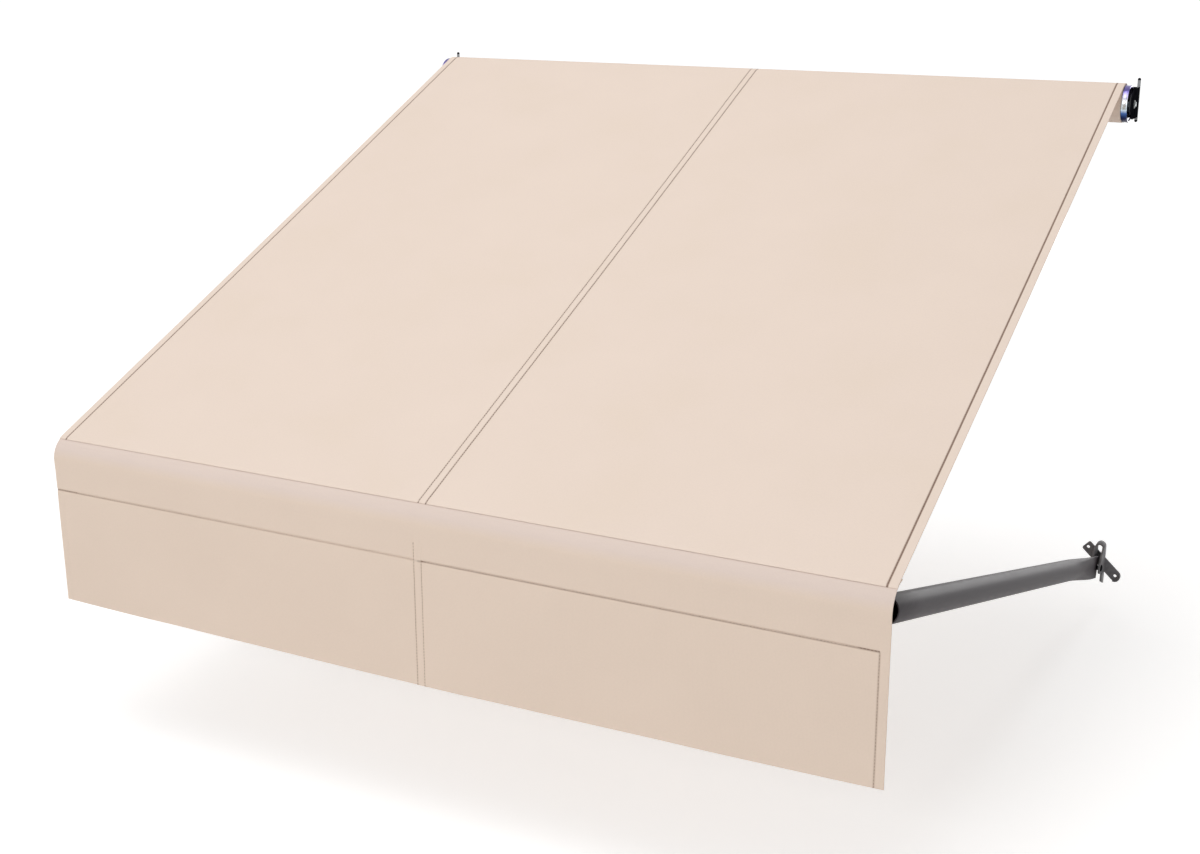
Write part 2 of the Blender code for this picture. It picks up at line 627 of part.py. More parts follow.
def valance(name, x0, x1, bar_axis, cloth):
    """Flat panel that hangs from the pocket's stitching, with a doubled hem along its lower edge."""
    top = -POCKET_DROP - GAP
    bottom = -POCKET_DROP - VALANCE_DROP
    front = -POCKET_RADIUS
    fold = bottom + VALANCE_HEM
    outline = [(front, top), (front, bottom), (front + 2 * CLOTH, bottom), (front + 2 * CLOTH, fold)]
    outline += [(front + CLOTH, fold), (front + CLOTH, top)]
    return make_object(name, prism(outline, 0, x0, x1), cloth, bar_axis)


def canopy(name, x0, x1, frame, cloth):
    """Stretched panel from the roll to the top of the pocket, tangent to both."""
    start, end = tangent_line(ROLL_RADIUS + GAP, POCKET_RADIUS + GAP)
    start_top, end_top = tangent_line(ROLL_RADIUS + GAP + CLOTH, POCKET_RADIUS + GAP + CLOTH)
    bm = bmesh.new()
    rows = []
    for i in range(CANOPY_STEPS + 1):
        low, high = start.lerp(end, i / CANOPY_STEPS), start_top.lerp(end_top, i / CANOPY_STEPS)
        rows.append([bm.verts.new((x, p.y, p.z)) for x, p in ((x0, low), (x1, low), (x1, high), (x0, high))])
    for row, after in zip(rows, rows[1:]):
        for i in range(4):
            j = (i + 1) % 4
            bm.faces.new((row[i], row[j], after[j], after[i]))
    bm.faces.new(rows[0])
    bm.faces.new(rows[-1])
    return make_object(name, bm, cloth, frame)


def build():
    clear_scene()
    cloth = make_material("awning_canvas", (0.79, 0.66, 0.56), 0.85)
    paint = make_material("dark_grey_paint", (0.07, 0.067, 0.07), 0.38, 0.3)
    chrome = make_material("bright_plated_steel", (0.72, 0.74, 0.78), 0.15, 1.0)
    galvanised = make_material("galvanised_steel", (0.5, 0.52, 0.53), 0.45, 1.0)
    black = make_material("black_plated_steel", (0.02, 0.02, 0.03), 0.35, 0.6)
    nylon = make_material("black_nylon", (0.015, 0.015, 0.018), 0.5)

    wall = make_empty("wall_frame", (0, 0, 0))
    roller_axis = make_empty("roller_axis", ROLLER, wall)
    arm_pivot = make_empty("arm_pivot", PIVOT, wall)
    bar_axis = make_empty("bar_axis", BAR - PIVOT, arm_pivot)

    for word, side in (("left", -1), ("right", 1)):
        roller_bracket(f"roller_bracket_{word}", side, wall, black)
        bush(f"roller_bush_{word}", side, roller_axis, nylon)
        roller_cap(f"roller_cap_{word}", side, roller_axis, chrome)
        arm_bracket(f"arm_bracket_{word}", side, arm_pivot, paint)
        pivot_pin(f"arm_pivot_pin_{word}", side, arm_pivot, black)
        arm(f"arm_{word}", side, arm_pivot, paint)
        bar_plug(f"bar_plug_{word}", side, bar_axis, nylon)
        bar_pin(f"bar_pin_{word}", side, bar_axis, galvanised)

    roller_tube(roller_axis, galvanised)
    spindle(roller_axis, galvanised)
    spring(roller_axis, galvanised)
    spring_anchor(roller_axis, nylon)
    fabric_roll(roller_axis, cloth)
    front_bar(bar_axis, galvanised)
    pocket(bar_axis, cloth)
    for word, x0, x1 in (("left", -EDGE_X, SEAM_X - GAP / 2), ("right", SEAM_X + GAP / 2, EDGE_X)):
        canopy(f"canopy_panel_{word}", x0, x1, wall, cloth)
        valance(f"valance_panel_{word}", x0, x1, bar_axis, cloth)


build()
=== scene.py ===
"""Looks of the roll-up awning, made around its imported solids.

Metres, +Z up. The wall is the plane y = 0 and the awning reaches out along -Y. The cloth is drawn as sewn
sheets with folded hems, a lapped seam and real stitches; the steel as pressed, bevelled and finished pieces.
"""

import math

import bmesh
import bpy
from mathutils import Matrix, Vector, noise


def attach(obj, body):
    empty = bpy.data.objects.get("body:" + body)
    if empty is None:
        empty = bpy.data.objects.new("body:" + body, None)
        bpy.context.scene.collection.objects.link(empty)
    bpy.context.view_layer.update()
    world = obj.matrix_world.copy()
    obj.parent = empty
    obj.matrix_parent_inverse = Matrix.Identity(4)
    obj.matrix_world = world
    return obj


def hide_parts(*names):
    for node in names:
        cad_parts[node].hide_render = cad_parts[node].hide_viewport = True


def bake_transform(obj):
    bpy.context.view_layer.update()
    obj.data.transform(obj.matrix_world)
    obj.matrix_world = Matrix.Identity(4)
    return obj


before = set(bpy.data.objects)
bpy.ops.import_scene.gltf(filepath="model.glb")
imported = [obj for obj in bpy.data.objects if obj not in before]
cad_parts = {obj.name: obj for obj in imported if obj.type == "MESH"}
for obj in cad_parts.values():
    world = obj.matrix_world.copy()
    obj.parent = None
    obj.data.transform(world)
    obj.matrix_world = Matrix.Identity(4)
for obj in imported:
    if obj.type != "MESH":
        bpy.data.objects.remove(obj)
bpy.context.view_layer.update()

# Sizes repeated from the solids
EDGE_X = 0.610
ROLLER = Vector((0, -0.040, 0))
BAR = Vector((0, -1.0726, -0.4554))
PIVOT = Vector((0, -0.036, -0.762))
GAP = 0.0003
RUNNING_GAP = 0.0015
CLOTH = 0.0012
ROLLER_RADIUS = 0.025
ROLLER_WALL = 0.0012
TURN_PITCH = CLOTH + GAP
ROLL_TURNS = 3
ROLL_RADIUS = ROLLER_RADIUS + GAP + ROLL_TURNS * TURN_PITCH
BAR_RADIUS = 0.030
POCKET_RADIUS = BAR_RADIUS + GAP + 0.0016
POCKET_DROP = 0.0443
POCKET_END = 0.573
VALANCE_DROP = 0.166
SEAM_X = -0.004
CAP_RADIUS = 0.0285
CAP_START = EDGE_X + GAP
CAP_RIM = 0.009
CAP_DEPTH = 0.022
BUSH_START = CAP_START + CAP_RIM + GAP
BUSH_RADIUS = 0.016
BUSH_NECK = 0.0065
BUSH_BORE = 0.0043
GUDGEON_RADIUS = 0.004
CHEEK_START = BUSH_START + 0.003 + GAP
CHEEK = 0.002
FLANGE = 0.0025
LUG_X = CHEEK_START + CHEEK - 0.0047
LUG_MIDDLE = 0.003
LUG_PALE = 0.0305
PLUG_RADIUS = 0.0281
PLUG_DEPTH = 0.025
PLUG_RIM = 0.003
PIN_BORE = 0.0043
ARM_RADIUS = 0.017
ARM_WALL = 0.0016
ARM_FRONT_X = EDGE_X - 0.014
ARM_OFFSET = 0.005
ARM_END = 0.016
FLAT_X = EDGE_X + 0.0175
FLAT_HALF_THICK = 0.002
FLAT_HALF_HEIGHT = 0.0188
FLAT_TAIL = 0.0085
FLAT_LENGTH = 0.022
FLARE_LENGTH = 0.150
BORE_START = 0.075
YOKE_X = FLAT_X + 0.001
PIVOT_SEAT = 0.0083
PIVOT_RADIUS = 0.004
PIVOT_HEAD_RADIUS = 0.0055
PIVOT_HEAD = 0.0018
ARM_REACH = math.hypot(BAR.y - PIVOT.y, BAR.z - PIVOT.z)
ARM_RISE = math.atan2(BAR.z - PIVOT.z, PIVOT.y - BAR.y) - math.asin(ARM_OFFSET / ARM_REACH)
ARM_FRONT = math.sqrt(ARM_REACH**2 - ARM_OFFSET**2) + ARM_END

# Cloth as it is cut and sewn
FABRIC = 0.0008
FOLD_RADIUS = 0.0008
HEM = 0.0120
HEM_EDGE = 0.0137
HEM_EXTRA = 0.00055
BOTTOM_FOLD = (0.0142, 0.0148)
SEAM_HALF = 0.0055
SEAM_EDGE = 0.0068
SEAM_FADE = 0.012
LAP = 0.0005
STITCH_PITCH = 0.0042
STITCH_LENGTH = 0.0034
THREAD_RADIUS = 0.00045
THREAD_LIFT = 0.00012
GROOVE = 0.00028
GROOVE_WIDTH = 0.0016
PUCKER = 0.00022
PUCKER_WIDTH = 0.010
POCKET_GROOVE = 0.0011
POCKET_GROOVE_WIDTH = 0.0022
POCKET_PUCKER = 0.0005
POCKET_PUCKER_WIDTH = 0.009
SAG = 0.0022
TENSION_WAVE = 0.0007
TENSION_RIPPLE = 0.0003
BOW = 0.0048
HANG_WAVE = 0.0022
HANG_RIPPLE = 0.0008
HANG_BACK = 0.0012
ROLL_WRAP = math.radians(48)
NOSE_LAP = math.radians(9)
TUCK = math.radians(26)
ON_ROLL = ROLL_RADIUS + TURN_PITCH
ON_BAR = POCKET_RADIUS + TURN_PITCH
POCKET_INSIDE = BAR_RADIUS + 0.00035
POCKET_FABRIC = 0.0006
FRONT_PRESSED = 0.0006

# How dark the painted shade along the stitched lines and the bend over the bar is drawn, and how wide
LINE_MIDDLE, LINE_EDGE = 0.0007, 0.0019
BEND_MIDDLE, BEND_EDGE = 0.008, 0.020
BEND_STRENGTH = 0.3
POCKET_LINE_FADE = 0.3

# The mesh: rows down the slope, steps round a turn of the roll, and the step that a sharp edge takes
SLOPE_ROW = 0.0075
TURN_STEPS = 72
SLIVER = 0.0001


# ---------------------------------------------------------------- materials


def linear(code):
    """An sRGB hex colour as linear values, opaque."""
    values = [int(code[i : i + 2], 16) / 255 for i in (0, 2, 4)]
    return (*[v / 12.92 if v <= 0.04045 else ((v + 0.055) / 1.055) ** 2.4 for v in values], 1.0)


def set_up(node, **settings):
    """Sets a node's properties, its colour stops, given as (position, hex colour or grey level), and the
    values of its inputs, given as socket_NAME."""
    for name, value in settings.items():
        if name == "stops":
            elements = node.color_ramp.elements
            while len(elements) < len(value):
                elements.new(0.5)
            for element, (position, tone) in zip(elements, value):
                element.position = position
                element.color = linear(tone) if isinstance(tone, str) else (tone, tone, tone, 1)
        elif name.startswith("socket_"):
            key = name[7:]
            node.inputs[int(key) if key.isdigit() else key.replace("_", " ")].default_value = value
        else:
            setattr(node, name, value)


def link(tree, node, links):
    """Links an output, or a node's first output in use, to each of the inputs named."""
    for key, source in links.items():
        if isinstance(source, bpy.types.Node):
            source = next(output for output in source.outputs if output.enabled)
        tree.links.new(source, node.inputs[key])


def add_node(tree, kind, links=None, **settings):
    """Adds a node with its settings and links."""
    node = tree.nodes.new(kind)
    set_up(node, **settings)
    link(tree, node, links or {})
    return node


def new_material(name):
    """A material with the tree and the Principled shader that are in it."""
    material = bpy.data.materials.new(name)
    material.use_nodes = True
    tree = material.node_tree
    return material, tree, tree.nodes["Principled BSDF"]


def line_share(tree, coordinate, lines, middle, edge):
    """How close a place is to the nearest of the lines, each given as its coordinate and its strength: full
    as far as middle and nothing from edge on."""
    share = None
    for line, strength in lines:
        away = add_node(tree, "ShaderNodeMath", {0: coordinate}, operation="SUBTRACT", socket_1=line)
        away = add_node(tree, "ShaderNodeMath", {0: away}, operation="ABSOLUTE")
        near = add_node(tree, "ShaderNodeMapRange", {"Value": away}, socket_1=middle, socket_2=edge)
        set_up(near, socket_3=strength, socket_4=0.0)
        if share is not None:
            near = add_node(tree, "ShaderNodeMath", {0: share, 1: near}, operation="MAXIMUM")
        share = near
    return share


def all_of(tree, shares):
    """The product of the shares."""
    result = shares[0]
    for share in shares[1:]:
        result = add_node(tree, "ShaderNodeMath", {0: result, 1: share}, operation="MULTIPLY")
    return result


def patches(tree, place, scale, detail, shades, ends=(0.35, 0.65)):
    """Cloudy patches in a surface: their level, and the colour that goes with it from one shade to the
    other."""
    level = add_node(tree, "ShaderNodeTexNoise", {"Vector": place}, socket_Scale=scale, socket_Detail=detail)
    return level, add_node(tree, "ShaderNodeValToRGB", {"Fac": level}, stops=list(zip(ends, shades)))


def woven_canvas(name, shades, down=(), pocket=None, bend=None):
    """Solution-dyed acrylic canvas in plain weave, with a matt, faintly fuzzy face. Its threads lie 0.4 mm
    apart, which is too fine to show, so they are drawn four times as coarse. The dye varies softly over a
    hand's width. Along stitched lines the colour is drawn browner, as painted shade of the grooves that the
    stitching pulls in: down are the lines along the cloth, and pocket is the line across it that they start
    at, whose painted shade fades from the left edge to the middle seam and is full beyond it. Along the line
    across it named by bend it goes over the bar, and a soft greyer band there is painted shade of the turn."""
    material, tree, shader = new_material(name)
    drawn_pitch = 0.0016
    place = add_node(tree, "ShaderNodeUVMap", uv_map="cloth")
    apart = add_node(tree, "ShaderNodeSeparateXYZ", {0: place}).outputs
    _, dye = patches(tree, place, 7.0, 3.0, shades, (0.32, 0.5, 0.68))
    waves = []
    for direction in ("X", "Y"):
        wave = add_node(tree, "ShaderNodeTexWave", {"Vector": place}, wave_type="BANDS", wave_profile="SIN")
        set_up(wave, bands_direction=direction, socket_Scale=math.tau / (20 * drawn_pitch))
        set_up(wave, socket_Distortion=0.35, socket_Detail=1.0, socket_Detail_Scale=2.0)
        waves.append(wave.outputs["Fac"])
    slub = add_node(tree, "ShaderNodeTexNoise", {"Vector": place}, socket_Scale=340.0, socket_Detail=2.0)
    threads = add_node(tree, "ShaderNodeMath", {0: all_of(tree, waves), 1: slub}, operation="ADD")
    shade = add_node(tree, "ShaderNodeValToRGB", {"Fac": threads}, stops=[(0.25, 0.955), (1.0, 1.0)])
    colour = add_node(tree, "ShaderNodeMix", data_type="RGBA", blend_type="MULTIPLY", socket_0=1.0)
    link(tree, colour, {"A": dye, "B": shade})
    painted_light_tints = []
    # Painted shade of the grooves along the stitched lines down the cloth
    if down:
        shares = [line_share(tree, apart["X"], down, LINE_MIDDLE, LINE_EDGE)]
        if pocket:
            along = {0: apart["Y"]}
            past = add_node(tree, "ShaderNodeMath", along, operation="GREATER_THAN", socket_1=pocket[0])
            shares.append(past)
        painted_light_tints.append((all_of(tree, shares), SEAM_PAINTED_SHADE))
    # Painted shade of the groove along the pocket's stitched line across the cloth
    if pocket:
        across = {0: apart["X"]}
        line = line_share(tree, apart["Y"], [pocket], LINE_MIDDLE, LINE_EDGE)
        inside = add_node(tree, "ShaderNodeMath", across, operation="LESS_THAN", socket_1=EDGE_X - HEM)
        fade = add_node(tree, "ShaderNodeMapRange", across, socket_1=-EDGE_X, socket_2=SEAM_X)
        set_up(fade, socket_3=1.0, socket_4=POCKET_LINE_FADE)
        right = add_node(tree, "ShaderNodeMath", across, operation="GREATER_THAN", socket_1=SEAM_X)
        fresh = add_node(tree, "ShaderNodeMath", {0: fade, 1: right}, operation="MAXIMUM")
        painted_light_tints.append((all_of(tree, [line, inside, fresh]), SEAM_PAINTED_SHADE))
    # Painted shade in a soft band where the front cloth turns over the bar
    if bend:
        share = line_share(tree, apart["Y"], [(bend, BEND_STRENGTH)], BEND_MIDDLE, BEND_EDGE)
        painted_light_tints.append((share, BEND_PAINTED_SHADE))
    # Each painted shade is mixed into the cloth's colour
    for share, painted_tone in painted_light_tints:
        painted_shade_links = {0: share, "A": colour}
        colour = add_node(tree, "ShaderNodeMix", painted_shade_links, data_type="RGBA", socket_B=linear(painted_tone))
    rough = add_node(tree, "ShaderNodeMapRange", {"Value": slub}, socket_3=0.78, socket_4=0.92)
    bump = add_node(tree, "ShaderNodeBump", {"Height": threads}, socket_Strength=0.25, socket_Distance=0.0003)
    link(tree, shader, {"Base Color": colour, "Roughness": rough, "Normal": bump})
    set_up(shader, socket_IOR=1.47, socket_Sheen_Weight=0.12, socket_Sheen_Roughness=0.5)
    set_up(shader, socket_Sheen_Tint=linear("FFF3E8"))
    return material


def sewing_thread(name, shades):
    """Bonded polyester thread, twisted from three plies: matt, a few shades browner than the cloth."""
    material, tree, shader = new_material(name)
    place = add_node(tree, "ShaderNodeTexCoord").outputs["Object"]
    _, colour = patches(tree, place, 900.0, 2.0, shades, (0.3, 0.7))
    link(tree, shader, {"Base Color": colour})
    set_up(shader, socket_Roughness=0.7, socket_IOR=1.5)
    return material


def painted_steel(name, dark, plain, worn):
    """Steel tube and pressings under satin dark grey powder coat. The coat has a fine orange peel, about
    1.5 mm from dimple to dimple, and is rubbed paler on outward edges and in faint long marks."""
    material, tree, shader = new_material(name)
    place = add_node(tree, "ShaderNodeTexCoord").outputs["Object"]
    peel = add_node(tree, "ShaderNodeTexNoise", {"Vector": place}, socket_Scale=420.0, socket_Detail=2.0)
    long_way = add_node(tree, "ShaderNodeMapping", {"Vector": place}, socket_Scale=(60.0, 5.0, 60.0))
    marks, colour = patches(tree, long_way, 3.0, 4.0, (dark, plain), (0.3, 0.62))
    edge = add_node(tree, "ShaderNodeNewGeometry").outputs["Pointiness"]
    wear = add_node(tree, "ShaderNodeValToRGB", {"Fac": edge}, stops=[(0.53, 0.0), (0.6, 1.0)])
    _, broken = patches(tree, place, 150.0, 4.0, (0.0, 0.7), (0.46, 0.62))
    share = all_of(tree, [wear, broken])
    paler_edges = add_node(tree, "ShaderNodeMix", {0: share, "A": colour}, data_type="RGBA", socket_B=linear(worn))
    rough = add_node(tree, "ShaderNodeMapRange", {"Value": marks}, socket_3=0.34, socket_4=0.46)
    bump = add_node(tree, "ShaderNodeBump", {"Height": peel}, socket_Strength=0.12, socket_Distance=0.0004)
    link(tree, shader, {"Base Color": paler_edges, "Roughness": rough, "Normal": bump})
    set_up(shader, socket_IOR=1.5, socket_Specular_IOR_Level=PAINT_SHINE)
    return material


def plated_steel(name, shades, roughness, grain):
    """Plated or bare steel: a metal whose surface varies in tone and gloss in cloudy patches, over fine
    drawing lines. grain is the spacing of the patches in millimetres."""
    material, tree, shader = new_material(name)
    place = add_node(tree, "ShaderNodeTexCoord").outputs["Object"]
    patch, colour = patches(tree, place, 1000.0 / grain, 3.0, shades)
    lines_at = add_node(tree, "ShaderNodeMapping", {"Vector": place}, socket_Scale=(900.0, 40.0, 40.0))
    lines = add_node(tree, "ShaderNodeTexNoise", {"Vector": lines_at}, socket_Scale=1.0, socket_Detail=2.0)
    rough = add_node(tree, "ShaderNodeMapRange", {"Value": patch})
    set_up(rough, socket_3=roughness * 0.8, socket_4=roughness * 1.25)
    bump = add_node(tree, "ShaderNodeBump", {"Height": lines}, socket_Strength=0.05, socket_Distance=0.0002)
    link(tree, shader, {"Base Color": colour, "Roughness": rough, "Normal": bump})
    set_up(shader, socket_Metallic=1.0)
    return material


def reflection_painted_zinc(name, painted_light_tints, roughness):
    """Bright zinc plate under a clear blue passivation. Its colour is a painted reflection that runs by
    height from violet at the top, over an almost white painted highlight, to a deep blue painted shade at the
    bottom, and wavers a little."""
    material, tree, shader = new_material(name)
    place = add_node(tree, "ShaderNodeTexCoord").outputs["Object"]
    height = add_node(tree, "ShaderNodeSeparateXYZ", {0: place}).outputs["Z"]
    # The height on the cap picks the colour of its painted reflection
    reflection_height = add_node(tree, "ShaderNodeMapRange", {"Value": height})
    set_up(reflection_height, socket_1=-CAP_RADIUS, socket_2=CAP_RADIUS)
    cloud = add_node(tree, "ShaderNodeTexNoise", {"Vector": place}, socket_Scale=70.0, socket_Detail=2.0)
    waver = add_node(tree, "ShaderNodeMapRange", {"Value": cloud}, socket_3=-0.05, socket_4=0.05)
    share = add_node(tree, "ShaderNodeMath", {0: reflection_height, 1: waver}, operation="ADD")
    colour = add_node(tree, "ShaderNodeValToRGB", {"Fac": share}, stops=painted_light_tints)
    rough = add_node(tree, "ShaderNodeMapRange", {"Value": cloud})
    set_up(rough, socket_3=roughness * 0.8, socket_4=roughness * 1.25)
    link(tree, shader, {"Base Color": colour, "Roughness": rough})
    set_up(shader, socket_Metallic=1.0)
    return material


def blackened_steel(name, dark, plain, pale_edge):
    """Steel with a dull black chromate finish, which hardly looks like metal. It is drawn pale grey along the
    edge that bears on the wall, except at the tips of the lug."""
    material, tree, shader = new_material(name)
    place = add_node(tree, "ShaderNodeTexCoord").outputs["Object"]
    patch, colour = patches(tree, place, 90.0, 3.0, (dark, plain))
    apart = add_node(tree, "ShaderNodeSeparateXYZ", {0: place}).outputs
    aside = add_node(tree, "ShaderNodeMath", {0: apart["X"]}, operation="ABSOLUTE")
    height = add_node(tree, "ShaderNodeMath", {0: apart["Z"]}, operation="SUBTRACT", socket_1=LUG_MIDDLE)
    height = add_node(tree, "ShaderNodeMath", {0: height}, operation="ABSOLUTE")
    tests = [(aside, "GREATER_THAN", LUG_X), (apart["Y"], "GREATER_THAN", -FLANGE - GAP)]
    tests.append((height, "LESS_THAN", LUG_PALE))
    shares = []
    for source, operation, limit in tests:
        shares.append(add_node(tree, "ShaderNodeMath", {0: source}, operation=operation, socket_1=limit))
    share = all_of(tree, shares)
    # Drawn pale grey along the edge that bears on the wall, except at the lug's tips
    paler_edges = add_node(tree, "ShaderNodeMix", {0: share, "A": colour}, data_type="RGBA", socket_B=linear(pale_edge))
    rough = add_node(tree, "ShaderNodeMapRange", {"Value": patch}, socket_3=0.38, socket_4=0.52)
    link(tree, shader, {"Base Color": paler_edges, "Roughness": rough})
    set_up(shader, socket_IOR=1.5, socket_Specular_IOR_Level=0.0)
    return material


def moulded_nylon(name, dark, plain):
    """Glass-filled black nylon, moulded against a fine spark-eroded tool: even, a little grey, low
    gloss."""
    material, tree, shader = new_material(name)
    place = add_node(tree, "ShaderNodeTexCoord").outputs["Object"]
    grit = add_node(tree, "ShaderNodeTexNoise", {"Vector": place}, socket_Scale=900.0, socket_Detail=2.0)
    _, colour = patches(tree, place, 60.0, 3.0, (dark, plain))
    bump = add_node(tree, "ShaderNodeBump", {"Height": grit}, socket_Strength=0.2, socket_Distance=0.0002)
    link(tree, shader, {"Base Color": colour, "Normal": bump})
    set_up(shader, socket_Roughness=0.48, socket_IOR=1.53)
    return material


# Painted shade along the stitched lines, browner than the cloth
SEAM_PAINTED_SHADE = "8D7363"
# Painted shade of the front cloth's turn over the bar
BEND_PAINTED_SHADE = "CFC3C8"
PAINT_SHINE = 0.07
# Painted reflection on the caps: deep blue painted shade at the bottom, a near white painted highlight,
# violet at the top
PAINTED_REFLECTION = [(0.0, "070A22"), (0.16, "0D1540"), (0.28, "4C6FB0"), (0.38, "D3E4EE"), (0.62, "F1F5FA")]
PAINTED_REFLECTION += [(0.74, "B4AED6"), (0.88, "5D5492"), (1.0, "746CA0")]
CANVAS_SHADES = ("EAD8C9", "EBD9CB", "ECDACC")
# The front cloth is the same canvas drawn a little darker, as painted shade, for it faces away from the light
# above
FRONT_SHADES_PAINTED_DARKER = ("E8D4C3", "E9D5C4", "EAD6C5")
CANVAS = woven_canvas("acrylic_canvas", CANVAS_SHADES)
THREAD = sewing_thread("polyester_thread", ("674F43", "866E5F"))
PALE_THREAD = sewing_thread("faded_polyester_thread", ("A08A7A", "B8A393"))
PAINT = painted_steel("powder_coated_steel", "383336", "423D40", "6C6769")
# The pressings have the arms' dark grey coat, drawn lighter as painted light where they lie in shade under
# the cloth
BRACKET_PAINT_LIGHTENED = painted_steel("powder_coated_pressings_painted_lighter", "686668", "747274", "8E8C8A")
# The caps' zinc, with its painted reflection
PAINTED_BRIGHT_ZINC = reflection_painted_zinc("zinc_with_painted_reflection", PAINTED_REFLECTION, 0.2)
BLACK_STEEL = blackened_steel("black_chromated_steel", "0E0E12", "19191E", "A2A4A6")
GALVANISED = plated_steel("galvanised_steel", ("8F9596", "B2B7B8"), 0.42, 7.0)
SPRING_STEEL = plated_steel("oiled_spring_steel", ("4E4A46", "6B6661"), 0.3, 5.0)
NYLON = moulded_nylon("moulded_nylon", "141416", "1D1D20")


# ---------------------------------------------------------------- meshes


def add_object(name, data):
    """A mesh, lamp or camera as an object of the scene."""
    made = bpy.data.objects.new(name, data)
    bpy.context.scene.collection.objects.link(made)
    return made


def make_piece(name, bm, material, angle=40):
    """An object at the origin from bm, shaded smooth up to an angle between faces."""
    mesh = bpy.data.meshes.new(name)
    bm.to_mesh(mesh)
    bm.free()
    mesh.materials.append(material)
    mesh.shade_smooth()
    mesh.set_sharp_from_angle(angle=math.radians(angle))
    return add_object(name, mesh)


def finish_piece(piece, body, slot, *nodes):
    """Puts a finished piece on its body, in place of the solids named."""
    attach(piece, body)
    if nodes:
        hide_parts(*nodes)


def cloth_shell(name, rows, places, point, material, start=0.0):
    """A closed sheet whose face and underside are given by point(x, row, underside). Its UV map is the
    place across the cloth and along it, in metres, where each row starts with its place along. start sets
    apart sheets of one material."""
    bm = bmesh.new()
    layer = bm.loops.layers.uv.new("cloth")
    grids = [[[bm.verts.new(point(x, row, side)) for x in places] for row in rows] for side in (False, True)]
    last_row, last = len(rows) - 1, len(places) - 1

    def add(corners):
        face = bm.faces.new([grids[side][r][c] for side, r, c in corners])
        for loop, (_, r, c) in zip(face.loops, corners):
            loop[layer].uv = (places[c], rows[r][0] + start)

    for r in range(last_row):
        for c in range(last):
            add([(0, r, c), (0, r + 1, c), (0, r + 1, c + 1), (0, r, c + 1)])
            add([(1, r, c), (1, r, c + 1), (1, r + 1, c + 1), (1, r + 1, c)])
        add([(0, r, 0), (1, r, 0), (1, r + 1, 0), (0, r + 1, 0)])
        add([(0, r, last), (0, r + 1, last), (1, r + 1, last), (1, r, last)])
    for c in range(last):
        add([(0, 0, c), (0, 0, c + 1), (1, 0, c + 1), (1, 0, c)])
        add([(0, last_row, c), (1, last_row, c), (1, last_row, c + 1), (0, last_row, c + 1)])
    bmesh.ops.recalc_face_normals(bm, faces=bm.faces)
    return make_piece(name, bm, material, 60)


def columns_across(edge):
    """Places across the cloth, close together at its edges, hems, stitching and middle seam."""
    near_edge = (0, 0.0003, 0.0008, 0.002, 0.005, 0.0082, 0.0100, 0.0110, 0.0116, 0.0120, 0.0124, 0.0130)
    near_edge += (0.0135, 0.0139, 0.0150, 0.0175, 0.022, 0.030, 0.042)
    near_seam = (0, 0.0030, 0.0045, 0.0051, 0.0055, 0.0059, 0.0064, 0.0067, 0.0069, 0.0075, 0.0090, 0.0115)
    near_seam += (0.015, 0.021, 0.031)
    places = {edge - d for d in near_edge} | {d - edge for d in near_edge}
    places |= {SEAM_X + d for d in near_seam} | {SEAM_X - d for d in near_seam}
    plain = 0.03
    for side in (-1, 1):
        start, end = SEAM_X + side * near_seam[-1], side * (edge - near_edge[-1])
        count = round(abs(end - start) / plain)
        places |= {start + (end - start) * i / count for i in range(1, count)}
    return sorted(places)


def dip(distance, width):
    """A soft groove: 1 on the line and 0 beyond its width."""
    share = min(abs(distance) / width, 1)
    return (1 - share * share) ** 2


def step(value, start, end):
    """0 before start, 1 after end, and a smooth rise between them."""
    share = min(max((value - start) / (end - start), 0), 1)
    return share * share * (3 - 2 * share)


def outward(angle):
    """The way out of the roller, the bar or the slope at an angle round the x axis from +Y."""
    return Vector((0, math.cos(angle), math.sin(angle)))


def stitch_groove(x, along, sewn=1.0):
    """How far the stitched lines pull the cloth in at a place, and how it puckers beside them. sewn is the
    share of this at the hems."""
    hem_weight = 0.9 * sewn
    lines = [(HEM - EDGE_X, hem_weight), (EDGE_X - HEM, hem_weight)]
    lines += [(SEAM_X - SEAM_HALF, 1.0), (SEAM_X + SEAM_HALF, 1.0)]
    depth = 0.0
    for i, (line, weight) in enumerate(lines):
        away = x - line
        if abs(away) > 2 * PUCKER_WIDTH:
            continue
        depth += GROOVE * weight * dip(away, GROOVE_WIDTH)
        ripple = noise.noise(Vector((along * 70, 3.7 * i, 0)))
        depth += PUCKER * weight * ripple * dip(away, PUCKER_WIDTH)
    return depth


def lapped(x):
    """How much the right panel, which laps over the left one at the middle seam, lifts the cloth's face."""
    edge = SEAM_X - SEAM_EDGE
    return LAP * step(x, edge - 2 * SLIVER, edge) * (1 - step(x, SEAM_X + SEAM_EDGE, SEAM_X + SEAM_FADE))


def doubled(x):
    """How much thicker the cloth is underneath, where a hem is folded under or the seam's panels
    overlap."""
    under = 1 - step(EDGE_X - abs(x), HEM_EDGE - 2 * SLIVER, HEM_EDGE + 2 * SLIVER)
    seam = step(x, SEAM_X - SEAM_FADE, SEAM_X - SEAM_EDGE)
    seam *= 1 - step(x, SEAM_X + SEAM_EDGE - SLIVER, SEAM_X + SEAM_EDGE + SLIVER)
    return HEM_EXTRA * max(under, 0.6 * seam)


def rounding(beside):
    """Shrinks the cloth's thickness to a round fold at its edge."""
    return 0.35 + 0.65 * math.sqrt(max(0.0, 1 - (1 - min(beside / FOLD_RADIUS, 1)) ** 2))


def shell_point(x, row, level, thick, beside, underside):
    """A point on a sheet whose face lies at a level above its row's base, or on its underside. beside is
    the distance to the sheet's edge."""
    round_off = (1 - rounding(beside)) * thick / 2
    level = level - thick + round_off if underside else level - round_off
    return Vector((x, 0, 0)) + row[1] + row[2] * level


